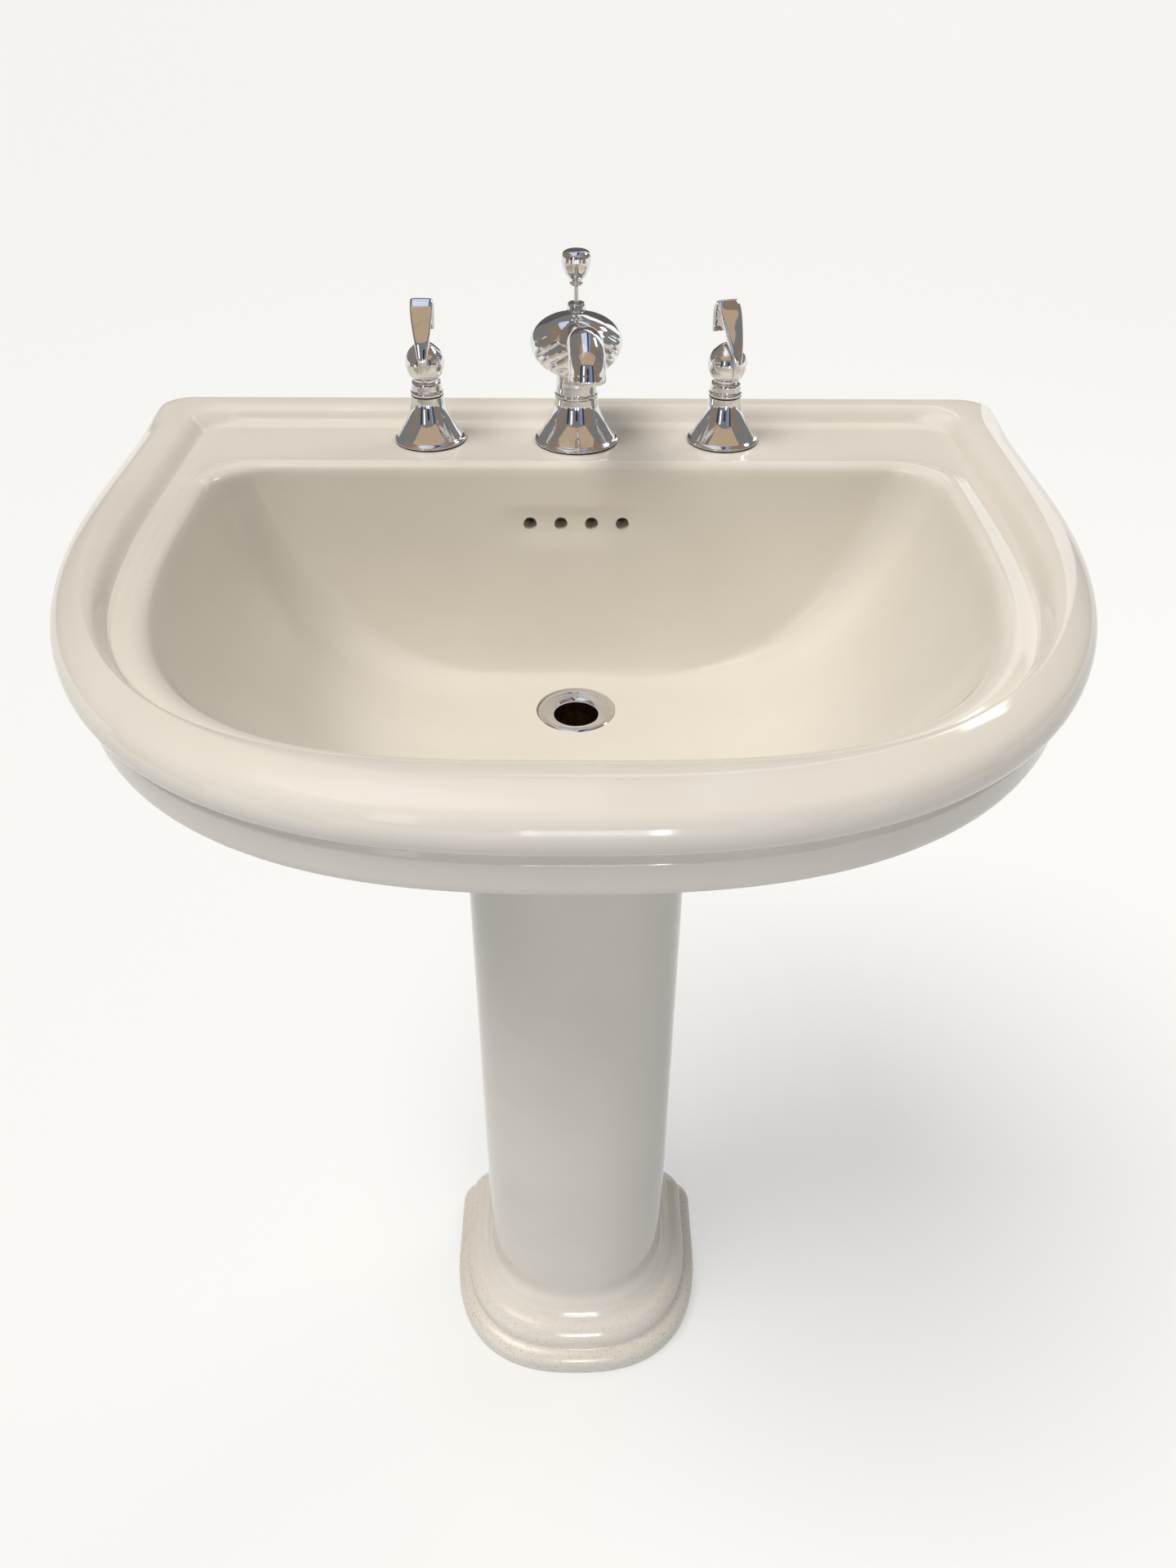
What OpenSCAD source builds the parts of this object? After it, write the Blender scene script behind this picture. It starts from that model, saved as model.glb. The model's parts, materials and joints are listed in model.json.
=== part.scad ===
// Pedestal wash basin with a widespread lever faucet and a pop-up drain.
// Millimetres. +X is to the right of a person at the basin, +Y points to the wall, +Z is up.
// The origin is on the floor, under the middle of the basin.

/* [Basin] */
// overall width of the basin
basin_w = 610; // [560:5:700]
// overall depth of the basin, wall to front lip
basin_d = 485; // [450:5:560]
// height of the flat faucet deck above the floor
deck_z = 863; // [800:1:900]
// height of the roll above the deck
roll_rise = 9; // [5:1:14]
// width of the roll at the front and sides
roll_w = 44; // [36:1:52]
// width of the raised ledge along the wall
ledge_w = 29; // [24:1:29]
// thickness of the china
china_t = 13; // [11:1:16]
// depth of the bowl at the drain, below the deck
bowl_depth = 149; // [130:1:165]
// wall to the back edge of the bowl opening
bowl_back = 109; // [104:1:120]
// depth of the outer apron below the deck
apron_h = 50; // [40:1:70]
// height of the flat flange that hangs on the wall
wall_flange_h = 110; // [95:1:140]
// exponent of the front curve: 2 is an ellipse, more is squarer
front_square = 2.5; // [2.1:0.1:3.2]
// squareness of the bowl's edge, seen from above
bowl_square = 3.3; // [2.6:0.1:3.4]
// how soon the bowl's walls reach the floor of the bowl
bowl_steep = 3.6; // [2.2:0.1:3.8]

/* [Openings in the china] */
// centre distance between the hot and the cold valve
valve_spread = 203.2; // [195:0.1:215]
// wall to the line of the faucet holes
hole_line = 60; // [59:1:64]
// diameter of the faucet holes
deck_hole_d = 35; // [34:0.5:37]
// wall to the centre of the drain
drain_line = 178; // [172:1:190]
// diameter of the drain hole
drain_hole_d = 45; // [44:0.5:48]
// diameter of one overflow hole
overflow_d = 9; // [6:0.5:11]
// pitch of the four overflow holes
overflow_pitch = 21; // [16:1:24]
// depth of the overflow holes below the deck
overflow_drop = 40; // [30:1:44]
// distance between the two wall bolts
wall_bolt_gap = 280; // [240:5:400]
// diameter of the wall bolt holes
wall_bolt_d = 13; // [10:0.5:16]

/* [Pedestal] */
// width of the foot
foot_w = 246; // [240:2:300]
// depth of the foot
foot_d = 206; // [190:2:220]
// wall to the back of the foot
foot_back = 80; // [70:1:95]
// width of the column where it meets the foot
column_low_w = 170; // [164:1:200]
// width of the column under the basin
column_top_w = 166; // [158:1:176]
// wall to the front of the column at the top
column_top_front = 250; // [240:1:256]
// thickness of the pedestal wall
column_t = 14; // [11:1:18]
// width of the opening in the back of the column
back_slot_w = 104; // [90:2:112]
// diameter of the floor bolt holes
floor_bolt_d = 10; // [8:0.5:12]
// distance between the floor bolts
floor_bolt_gap = 70; // [60:1:84]

/* [Faucet] */
// diameter of the valve bells at the foot
bell_d = 51; // [48:0.5:56]
// diameter of the spout bell at the foot
spout_bell_d = 60; // [57:0.5:62]
// height of the valve bells
bell_h = 31; // [28:0.5:32]
// height above the deck where the lever tip starts to curl
lever_h = 86; // [82:1:96]
// width of the lever at its tip
lever_w = 14.8; // [12:0.1:18]
// turn of the cold lever at rest, from straight back
cold_rest = 22; // [0:1:26]
// widest diameter of the spout body
dome_d = 61.5; // [58:0.5:66]
// reach of the spout from its axis
spout_reach = 88; // [80:1:96]
// diameter of the nose of the spout
nose_d = 22.6; // [21:0.1:24]
// small turn of the nose to the right
nose_turn = 4.5; // [0:0.5:8]
// length of the lever sweep from shut to open, in degrees
lever_sweep = 90; // [60:5:100]

/* [Pop-up train] */
// diameter of the lift rod
lift_rod_d = 3.2; // [3:0.1:4]
// distance of the lift rod behind the spout axis
lift_rod_back = 10; // [9.6:0.1:10.2]
// diameter of the knob
knob_d = 19.2; // [17:0.1:21]
// length of the knob
knob_l = 22; // [20:1:30]
// free rod seen between the spout and the knob
knob_gap = 11; // [9:0.5:14]
// height of the pivot ball below the bowl outlet
pivot_drop = 72; // [66:1:80]
// diameter of the pivot rod
pivot_rod_d = 4.8; // [4:0.1:5.2]

/* [Drain] */
// diameter of the drain flange
flange_d = 54; // [51:0.5:60]
// diameter of the open throat
throat_d = 30; // [28:0.5:31]
// outside diameter of the tailpiece
tailpiece_d = 31.75; // [31.5:0.05:32]
// free length of the tailpiece below the drain body
tailpiece_l = 130; // [80:5:200]

/* [Clearances] */
// radial running fit of the stems in the cartridges
stem_fit = 0.05; // [0.02:0.01:0.1]
// gap between pieces that move past each other
move_gap = 0.6; // [0.4:0.1:0.8]
// gap round a rod that passes through a hole
rod_gap = 0.9; // [0.5:0.1:1]

/* [Hidden] */
half_w = basin_w / 2;
wall_y = basin_d / 2;
valve_x = valve_spread / 2;
hole_y = wall_y - hole_line;
drain_y = wall_y - drain_line;
outlet_z = deck_z - bowl_depth;
seat_drop = bowl_depth + 17;
seat_z = deck_z - seat_drop;
deck_t = 14;
under_z = deck_z - deck_t;
straight = 132;
shank_back = -4.8;
shank_y = hole_y + shank_back;
rod_y = hole_y + lift_rod_back;
rod_r = lift_rod_d / 2;
pivot_z = outlet_z - pivot_drop;
ball_r = 6;
ball_y = drain_y + 25;
strap_y = rod_y + 4;
side_z = deck_z - 60;
boss_top = deck_z + 89;
gasket_h = 0.8;
neck_r = 14.5;
hub_r = 11;
flange_t = 14;
$fn = 64;

china = [0.91, 0.89, 0.85];
chrome = [0.78, 0.79, 0.81];
brass = [0.74, 0.6, 0.34];
rubber = [0.12, 0.12, 0.12];
steel = [0.62, 0.63, 0.65];
plastic = [0.86, 0.86, 0.84];

// ---- plan outline of a D with a straight wall side ----
curve_n = 28;
side_n = 4;
corner_n = 4;
back_n = 6;

function mix(a, b, t) = a + (b - a) * t;
function smooth(t) = let (u = min(max(t, 0), 1)) u * u * (3 - 2 * u);
function power(c, e) = sign(c) * pow(abs(c), e);

// w half width, b and f back and front set in from the wall, s start of the curve, r corner, n square
function outline(w, b, f, s, r, n) = let (yb = wall_y - b, yf = wall_y - f, ys = wall_y - s) concat(
    [for (i = [0:curve_n]) let (a = 180 * i / curve_n)
        [w * power(cos(a), 2 / n), ys - (ys - yf) * power(sin(a), 2 / n)]],
    [for (i = [1:side_n - 1]) [-w, mix(ys, yb - r, i / side_n)]],
    [for (i = [0:corner_n]) let (a = 180 - 90 * i / corner_n)
        [-w + r + r * cos(a), yb - r + r * sin(a)]],
    [for (i = [1:back_n - 1]) [mix(-w + r, w - r, i / back_n), yb]],
    [for (i = [0:corner_n]) let (a = 90 - 90 * i / corner_n)
        [w - r + r * cos(a), yb - r + r * sin(a)]],
    [for (i = [1:side_n - 1]) [w, mix(yb - r, ys, i / side_n)]]);

// share of a point's height that follows the wall side instead of the front
function wall_share(y) = smooth((y - (wall_y - 70)) / 55);
function ring(w, b, f, s, r, n, zf, zb) =
    [for (p = outline(w, b, f, s, r, n)) [p[0], p[1], mix(zf, zb, wall_share(p[1]))]];

// skin over a stack of rings; closed rings are tubes, open stacks get two flat caps
module skin(rings, tube) {
    m = len(rings[0]);
    n = len(rings);
    points = [for (r = rings) for (p = r) p];
    last = tube ? n - 1 : n - 2;
    sides = [for (i = [0:last]) for (j = [0:m - 1])
        let (a = i * m + j, b = i * m + (j + 1) % m, c = ((i + 1) % n) * m + (j + 1) % m,
            d = ((i + 1) % n) * m + j)
        each [[a, b, c], [a, c, d]]];
    caps = tube ? [] : [[for (j = [m - 1:-1:0]) j], [for (j = [0:m - 1]) (n - 1) * m + j]];
    polyhedron(points = points, faces = concat(sides, caps), convexity = 10);
}

// ---- basin ----
bowl_w = half_w - 67;
bowl_front = basin_d - 49;
mouth_r = 34;
drain_r = 34;

// bowl section: s runs from the edge (0) to the outlet (1), t thickens outward for the underside
function bowl_ring(s, t) = let (
    z = deck_z - 2.5 - (bowl_depth - 3.5) * (1 - pow(1 - s, bowl_steep)) - t)
    ring(mix(bowl_w, drain_r, s) + t, mix(bowl_back, drain_line - drain_r, pow(s, 0.8)) - t,
        mix(bowl_front, drain_line + drain_r, s) + t, mix(150, drain_line, s),
        mix(mouth_r, drain_r, s) + 5 * sin(180 * pow(s, 0.7)) * (1 - s) + t,
        mix(bowl_square, 2, s), z, z);

// rim section: i set in at front and sides, b set in at the wall, zf and zb heights above the deck
function rim_ring(i, b, zf, zb) = ring(half_w - i, b, basin_d - i, mix(straight, 150, i / 70),
    mix(12, mouth_r, i / 70), front_square + i / 700 + max(0, i - 20) * (bowl_square - 2.6) / 24,
    deck_z + zf, deck_z + zb);

// ring of the outer edge, and ring of the bowl, in the flat plane under the deck
edge_s = 1 - pow(1 - (deck_t - 2.5) / (bowl_depth - 3.5), 1 / bowl_steep);
edge_ring = rim_ring(0.8, 0, -deck_t, -deck_t);
neck_ring = ring(bowl_w + china_t + 4, bowl_back - china_t - 3, bowl_front + 5, 150, 36, bowl_square,
    under_z, under_z);

// deck with the roll, the ledge and the bead, down to the plane under the deck
module basin_rim() color(china) difference() {
    skin(concat(
        [edge_ring],
        [rim_ring(0, 0, -11, -11)],
        [rim_ring(1, 0.2, -4, -2)],
        [rim_ring(5, 1.2, roll_rise * 0.25, roll_rise * 0.66)],
        [rim_ring(11, 4, roll_rise * 0.6, roll_rise * 0.94)],
        [rim_ring(roll_w * 0.44, ledge_w * 0.34, roll_rise * 0.78, roll_rise)],
        [rim_ring(roll_w * 0.66, ledge_w * 0.6, roll_rise * 0.66, roll_rise * 0.9)],
        [rim_ring(roll_w * 0.84, ledge_w * 0.78, roll_rise * 0.38, roll_rise * 0.6)],
        [rim_ring(roll_w * 0.94, ledge_w * 0.9, roll_rise * 0.14, roll_rise * 0.2)],
        [rim_ring(roll_w, ledge_w, 0, 0)],
        [ring(bowl_w + 14, bowl_back - 11, bowl_front + 13, 148, mouth_r + 4, bowl_square,
            deck_z, deck_z)],
        [ring(bowl_w + 10, bowl_back - 8, bowl_front + 9, 149, mouth_r + 3, bowl_square,
            deck_z + 1.6, deck_z + 1)],
        [ring(bowl_w + 5, bowl_back - 4, bowl_front + 4.5, 150, mouth_r + 1, bowl_square,
            deck_z + 1, deck_z + 0.6)],
        [bowl_ring(0, 0), bowl_ring(edge_s, 0)]), true);
    for (x = [-valve_x, 0, valve_x])
        translate([x, hole_y, under_z - 30]) cylinder(d = deck_hole_d, h = 60);
}

// skirt under the roll, with the flat flange that hangs on the wall
module basin_apron() color(china) difference() {
    skin(concat(
        [edge_ring],
        [rim_ring(26, flange_t + 6, -deck_t, -deck_t)],
        [rim_ring(21, flange_t, -deck_t - 6, -deck_t - 6)],
        [rim_ring(21, flange_t, -apron_h + 4, -wall_flange_h + 4)],
        [rim_ring(18, flange_t - 4, -apron_h, -wall_flange_h)],
        [rim_ring(13, 3, -apron_h, -wall_flange_h)],
        [rim_ring(9.5, 0, -apron_h + 5, -wall_flange_h + 3)],
        [rim_ring(8.5, 0, -apron_h + 20, -apron_h - 20)],
        [rim_ring(10.5, 0, -25, -26)],
        [rim_ring(6.5, 0, -22.5, -23)],
        [rim_ring(2, 0, -19, -19)]), true);
    for (x = [-wall_bolt_gap / 2, wall_bolt_gap / 2]) translate([x, wall_y - 30, deck_z - 72])
        rotate([-90, 0, 0]) cylinder(d = wall_bolt_d, h = 60);
}

// bowl below the deck, with the flat seat for the pedestal and the overflow passage behind it
duct_back = bowl_back - 23;
duct_w = 3 * overflow_pitch + overflow_d + 12;
module slab(x, d0, d1, z0, z1) translate([-x / 2, wall_y - d1, deck_z + z0])
    cube([x, d1 - d0, z1 - z0]);

module basin_bowl() color(china) difference() {
    union() {
        skin(concat(
            [ring(93, 112, 262, 170, 30, 2.4, seat_z, seat_z)],
            [ring(99, 108, 268, 170, 32, 2.4, seat_z + 5, seat_z + 5)],
            [for (i = [7:-1:1]) bowl_ring(i / 10, china_t)],
            [neck_ring],
            [bowl_ring(edge_s, 0)],
            [for (i = [1:10]) bowl_ring(i / 10, 0)]), false);
        slab(duct_w, duct_back, bowl_back - 1, -110, -deck_t);
        slab(duct_w, duct_back, bowl_back + 10, -seat_drop, -105);
    }
    slab(duct_w - 12, duct_back + 6, duct_back + 12, -seat_drop + 5, -22);
    slab(24, duct_back + 6, drain_line - drain_hole_d / 2 + 2, -seat_drop + 5, -seat_drop + 11);
    translate([0, drain_y, seat_z - 5]) cylinder(d = drain_hole_d, h = 40);
    translate([0, drain_y, outlet_z - 1.5]) cylinder(d = flange_d + 1, h = 12);
    for (i = [-1.5:1:1.5]) translate([i * overflow_pitch, wall_y - bowl_back - 18,
        deck_z - overflow_drop]) rotate([-90, 0, 0]) cylinder(d = overflow_d, h = 32);
}

// ---- pedestal ----
column_foot_z = 78;
column_back = foot_back + 15;
function foot_inside(i, z) = ring(foot_w / 2 - i, column_back + 12 - z * 0.05,
    foot_back + foot_d - i, foot_back + 78, 14, 2.4, z, z);
foot_step = (foot_w - column_low_w) / 76;
function foot_ring(i, z) = ring(foot_w / 2 - i * foot_step, foot_back + i * 0.35,
    foot_back + foot_d - i * 0.95, foot_back + 78, 22, 2.5, z, z);
function column_ring(z, i) = let (u = (z - column_foot_z) / (seat_z - column_foot_z))
    ring(mix(column_low_w, column_top_w, u) / 2 - i, mix(column_back, column_back + 4, u) + i,
        mix(foot_back + foot_d - 36, column_top_front, u) - i, 168, 24 - i * 0.8, 2.3, z, z);

module pedestal_shell() {
    skin(concat(
        [foot_ring(2, 0), foot_ring(0, 2), foot_ring(0, 15), foot_ring(2, 20), foot_ring(6.5, 24),
            foot_ring(10.5, 26), foot_ring(11.5, 28), foot_ring(11.5, 38), foot_ring(13, 43),
            foot_ring(17, 48), foot_ring(22, 51.5), foot_ring(28, 56), foot_ring(33, 63)],
        [for (u = [0, 0.08, 0.5, 0.9, 0.985]) column_ring(mix(column_foot_z, seat_z, u), 0)],
        [column_ring(seat_z, 2)],
        // inside, from the top down
        [for (z = [seat_z, seat_z - 200, column_foot_z + 10]) column_ring(z, column_t)],
        [foot_inside(column_t + 24, 40), foot_inside(column_t + 8, 22), foot_inside(column_t + 4, 0)]),
        true);
    // web that takes the floor bolts
    translate([-foot_w / 2 + 13, wall_y - foot_back - 50, 0]) cube([foot_w - 26, 40, 16]);
}
module pedestal() color(china) difference() {
    pedestal_shell();
    translate([-back_slot_w / 2, wall_y - 140, 64]) cube([back_slot_w, 100, seat_z]);
    for (x = [-floor_bolt_gap / 2, floor_bolt_gap / 2])
        translate([x, wall_y - foot_back - 38, -1]) cylinder(d = floor_bolt_d, h = 20);
}

// ---- faucet ----
bell_n = 12;
function flare(r0, r1, h, z) = r1 + (r0 - r1) * pow(max(1 - z / h, 0), 1.85);

// trumpet: bead at the foot, concave flare, straight neck
module bell(d, neck, h, thick) {
    r0 = d / 2 - 1.4;
    outer = [for (i = [0:bell_n]) let (z = 2.2 + (h - 2.2) * i / bell_n)
        [flare(r0, neck, h, z - 2.2), z]];
    inner = [for (i = [bell_n:-1:0]) let (z = (h - 1) * i / bell_n)
        [max(flare(r0, neck, h, z) - thick, neck - thick), z]];
    rotate_extrude() polygon(concat([[r0 - thick, 0], [r0 + 0.6, 0], [d / 2 - 0.3, 0.5],
        [d / 2, 1.2], [d / 2 - 0.3, 1.9], [r0 + 0.4, 2.2]], outer,
        [[neck - thick, h]], inner));
}

module ring_solid(r_in, r_out, h) difference() {
    cylinder(r = r_out, h = h);
    translate([0, 0, -1]) cylinder(r = r_in, h = h + 2);
}

module hex_nut(r_in, flats, h) difference() {
    cylinder(d = flats / cos(30), h = h, $fn = 6);
    translate([0, 0, -1]) cylinder(r = r_in, h = h + 2);
}

module at_valve(side) translate([side * valve_x, hole_y, deck_z]) children();

module valve_bell(side) color(chrome) at_valve(side) translate([0, 0, gasket_h])
    bell(bell_d, hub_r, bell_h - gasket_h, 1.8);
module bell_hot() valve_bell(-1);
module bell_cold() valve_bell(1);
module bell_spout() color(chrome) translate([0, hole_y, deck_z + gasket_h])
    bell(spout_bell_d, neck_r, bell_h - gasket_h, 1.7);
module bell_gaskets() color(rubber) {
    for (side = [-1, 1]) at_valve(side) ring_solid(bell_d / 2 - 3.4, bell_d / 2 - 1, gasket_h);
    translate([0, hole_y, deck_z]) ring_solid(spout_bell_d / 2 - 5, spout_bell_d / 2 - 1, gasket_h);
}

// lever ribbon: a curve in the handle's own side view, u is toward the back, v is up
lever_pts = [[-8.5, 42], [-17, 60], [-6.5, 72], [1.5, lever_h]];
tip_pts = [[1.5, lever_h], [4.9, lever_h + 6.3], [11, lever_h + 7], [11, lever_h - 2]];
flap_pts = [[11, lever_h - 2], [11, lever_h - 7], [11.6, lever_h - 11], [12, lever_h - 15]];
function bez(p, t) = p[0] * pow(1 - t, 3) + p[1] * 3 * t * pow(1 - t, 2)
    + p[2] * 3 * t * t * (1 - t) + p[3] * pow(t, 3);
function tangent(p, t) = let (d = bez(p, min(t + 0.01, 1)) - bez(p, max(t - 0.01, 0))) d / norm(d);
function offset_pt(p, t, h) = bez(p, t) + h * [-tangent(p, t)[1], tangent(p, t)[0]];
ribbon_n = 12;
function ribbon_half(t) = mix(0.8, 2, smooth(t * 3)) - 0.5 * smooth((t - 0.6) / 0.4);

// one section across the strip, w half width, h half thickness, c corner
function strip_ring(p, t, w, h, c) = [for (q = [[w, c - h], [w, h - c], [w - c, h], [c - w, h],
    [-w, h - c], [-w, c - h], [c - w, -h], [w - c, -h]])
    let (o = offset_pt(p, t, q[1])) [q[0], o[0], o[1]]];
module lever() skin(concat(
    [for (i = [0:ribbon_n]) let (t = i / ribbon_n) strip_ring(lever_pts, t,
        lever_half((bez(lever_pts, t)[1] - 41) / (lever_h - 32)), ribbon_half(t), 0.5)],
    [for (i = [1:ribbon_n - 2]) strip_ring(tip_pts, i / (ribbon_n - 2), lever_w / 2, 1.5, 0.5)],
    [for (i = [1:4]) strip_ring(flap_pts, i / 4, lever_w / 2 - i * 0.25, 1.5, 0.5)]), false);
function lever_half(u) = u < 0.35 ? mix(1.6, 5.6, smooth(u / 0.35))
    : mix(5.6, lever_w / 2, pow((min(u, 0.86) - 0.35) / 0.51, 1.4));

stem_top = 50;
module handle_body() {
    difference() {
        union() {
            rotate_extrude() polygon(concat(
                [[0, bell_h + move_gap], [hub_r, bell_h + move_gap], [hub_r + 0.4, bell_h + 2],
                    [hub_r, bell_h + 3.4], [hub_r - 0.8, bell_h + 9.2], [hub_r - 2.2, bell_h + 10.2]],
                [for (i = [0:12]) let (a = -48 + 118 * i / 12)
                    [13.2 * cos(a) * (a > 0 ? 1 - 0.12 * sin(a) : 1), 52.5 + 13.4 * sin(a)]],
                [[0, 65.9]]));
            lever();
        }
        translate([0, 0, bell_h - 1]) cylinder(r = stem_r, h = stem_top + 0.4 - bell_h + 1);
        translate([0, 0, bell_h - 1]) cylinder(r = 8.9, h = 4.6);
        translate([0, 0, bell_h + 6.4]) rotate([-90, 0, 0]) cylinder(r = 2, h = 20);
    }
}
module handle_at(side, turn) color(chrome) at_valve(side) rotate([0, 0, turn]) handle_body();
module handle_hot() handle_at(-1, 0);
module handle_cold() handle_at(1, cold_rest);

module set_screw_at(side, turn) color(steel) at_valve(side) rotate([0, 0, turn])
    translate([0, stem_r, bell_h + 6.4]) rotate([-90, 0, 0]) difference() {
        cylinder(r = 2, h = 5);
        translate([0, 0, 3]) cylinder(d = 2, h = 3, $fn = 6);
    }
module set_screw_hot() set_screw_at(-1, 0);
module set_screw_cold() set_screw_at(1, cold_rest);

stem_r = 4;
module stem_at(side) color(brass) at_valve(side)
    translate([0, 0, 2]) cylinder(r = stem_r, h = stem_top - 2);
module stem_hot() stem_at(-1);
module stem_cold() stem_at(1);

cartridge_r = 10;
bonnet_r = 8.2;
module cartridge_at(side) color(plastic) at_valve(side) difference() {
    union() {
        translate([0, 0, -16]) cylinder(r = cartridge_r, h = 24);
        translate([0, 0, 7.9]) cylinder(r = bonnet_r, h = bell_h - 7.9);
    }
    translate([0, 0, 1.4]) cylinder(r = stem_r + stem_fit, h = bell_h);
}
module cartridge_hot() cartridge_at(-1);
module cartridge_cold() cartridge_at(1);

module bonnet_nuts() color(brass) for (side = [-1, 1]) at_valve(side) translate([0, 0, 9])
    hex_nut(bonnet_r, 19, 6);

shank_r = 13;
inlet_r = 10.4;
module valve_at(side) color(brass) at_valve(side) difference() {
    union() {
        translate([0, 0, -50]) cylinder(r = shank_r, h = 59);
        cylinder(r = 20.5, h = 2.4);
        translate([0, 0, -74]) cylinder(r = 16, h = 28);
        translate([0, 0, -104]) cylinder(r = inlet_r, h = 31);
        translate([0, shank_back, -60]) rotate([0, -side * 90, 0]) cylinder(r = 8, h = 30);
    }
    translate([0, 0, -16]) cylinder(r = cartridge_r, h = 30);
    translate([0, 0, -110]) cylinder(r = 6, h = 100);
    translate([0, shank_back, -60]) rotate([0, -side * 90, 0]) cylinder(r = 5, h = 40);
}
module valve_hot() valve_at(-1);
module valve_cold() valve_at(1);

module deck_washers() color(rubber) for (side = [-1, 1]) at_valve(side)
    translate([0, 0, -deck_t - 2]) ring_solid(shank_r, 24, 2);
module thrust_washers() color(steel) for (side = [-1, 1]) at_valve(side)
    translate([0, 0, -deck_t - 3.5]) ring_solid(shank_r, 22, 1.5);
module mount_nuts() color(brass) for (side = [-1, 1]) at_valve(side)
    translate([0, 0, -deck_t - 13.5]) hex_nut(shank_r, 36, 10);

// spout body: neck, dome, boss for the lift rod and the turned-down nose
nose_r = nose_d / 2;
nose_bend = 14;
nose_rise = 15;
nose_run = spout_reach - nose_bend - nose_bend * sin(nose_rise);
nose_z = 67;
dome_r = dome_d / 2;
spout_r = 7.5;
bend_z = nose_z + nose_run * tan(nose_rise) - nose_bend * cos(nose_rise);
nose_end = bend_z - 1.5;
equator = 66.8;
module nose(r, root) {
    translate([0, 0, nose_z]) rotate([90 - nose_rise, 0, 0])
        cylinder(r1 = root, r2 = r - 0.3, h = nose_run / cos(nose_rise) + 2);
    translate([0, nose_bend - spout_reach, bend_z]) rotate([90, 0, -90])
        rotate([0, 0, nose_rise - 10])
        rotate_extrude(angle = 100) translate([nose_bend, 0]) circle(r = r);
    translate([0, -spout_reach, nose_end]) cylinder(r = r + 0.4, h = 2.5);
}
module spout_body() color(chrome) difference() {
    translate([0, hole_y, deck_z]) union() {
        rotate_extrude() polygon(concat(
            [[0, bell_h], [neck_r, bell_h], [neck_r + 0.4, bell_h + 1.2], [neck_r, bell_h + 2.4],
                [neck_r - 0.6, bell_h + 8], [neck_r - 1.2, bell_h + 12]],
            [for (i = [0:8]) let (a = -64 + 64 * i / 8)
                [dome_r * cos(a), equator + 21 * sin(a)]],
            [for (i = [1:10]) let (a = 76 * i / 10) [dome_r * cos(a), equator + 17 * sin(a)]],
            [[0, equator + 17]]));
        translate([0, lift_rod_back, 72]) cylinder(r1 = 10, r2 = 6.3, h = 12.5);
        translate([0, lift_rod_back, 84]) cylinder(r1 = 6.3, r2 = 5.4, h = boss_top - deck_z - 84);
        rotate([0, 0, nose_turn]) nose(nose_r, nose_r + 2);
    }
    translate([0, shank_y, deck_z + bell_h - 2]) cylinder(r = spout_r, h = 12);
    translate([0, shank_y, deck_z + bell_h]) cylinder(r = 5, h = 38);
    translate([0, rod_y, deck_z + bell_h - 2]) cylinder(r = rod_r + rod_gap, h = 80);
    at_outlet(nose_end - 2) cylinder(r = nose_r - 1.6, h = 8);
}
module at_outlet(z) translate([0, hole_y, deck_z]) rotate([0, 0, nose_turn])
    translate([0, -spout_reach, z]) children();
module aerator_housing() color(chrome) at_outlet(nose_end)
    ring_solid(nose_r - 3.2, nose_r - 1.6, 6);
module aerator_screen() color(steel) at_outlet(nose_end + 1) cylinder(r = nose_r - 3.2, h = 2);

module spout_shank() color(brass) translate([0, shank_y, deck_z]) difference() {
    translate([0, 0, -56]) cylinder(r = spout_r, h = 56 + bell_h + 8);
    translate([0, 0, -60]) cylinder(r = 5, h = 130);
}
module spout_washer() color(steel) translate([0, hole_y, under_z - 2]) difference() {
    cylinder(r = 25, h = 2);
    translate([0, shank_back, -1]) cylinder(r = spout_r, h = 4);
    translate([-4, 4, -1]) cube([8, 30, 4]);
}
module spout_nut() color(brass) translate([0, shank_y, under_z - 12]) difference() {
    cylinder(r = 12, h = 10);
    translate([0, 0, -1]) cylinder(r = spout_r, h = 12);
}
module tee() color(brass) translate([0, shank_y, side_z]) difference() {
    union() {
        translate([0, 0, -14]) cylinder(r = 11, h = 32);
        translate([-28, 0, 0]) rotate([0, 90, 0]) cylinder(r = 8, h = 56);
    }
    translate([0, 0, 4]) cylinder(r = spout_r, h = 20);
    translate([0, 0, -6]) cylinder(r = 5, h = 20);
    translate([-30, 0, 0]) rotate([0, 90, 0]) cylinder(r = 5, h = 60);
}
tube_l = valve_x - 24 - 22;
module tube_at(side) color([0.72, 0.45, 0.3]) translate([side * 22, shank_y, side_z])
    rotate([0, side * 90, 0]) ring_solid(4, 5, tube_l);
module tube_hot() tube_at(-1);
module tube_cold() tube_at(1);
module tube_nuts() color(brass) for (side = [-1, 1]) for (x = [28, valve_x - 40])
    translate([side * x, shank_y, side_z]) rotate([0, side * 90, 0]) hex_nut(5, 17, 10);

// ---- pop-up train ----
knob_z = boss_top + knob_gap;
rod_low = deck_z - 122;
strap_top = deck_z - 98;
strap_h = strap_top - pivot_z + 22;
module lift_rod() color(chrome) translate([0, rod_y, rod_low])
    cylinder(r = rod_r, h = knob_z + 8 - rod_low);
module lift_knob() color(chrome) translate([0, rod_y, knob_z]) difference() {
    rotate_extrude() polygon(concat([[0, 0], [3.6, 0], [4.6, 1.4], [4.8, 3]],
        [for (i = [1:10]) let (u = i / 10)
            [mix(4.8, knob_d / 2, sin(90 * u)), mix(3, knob_l - 7.5, u)]],
        [for (i = [1:8]) let (a = 90 * i / 8)
            [knob_d / 2 * cos(a), knob_l - 7.5 + 7.5 * sin(a)]]));
    translate([0, 0, -1]) cylinder(r = rod_r, h = 9);
}
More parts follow.
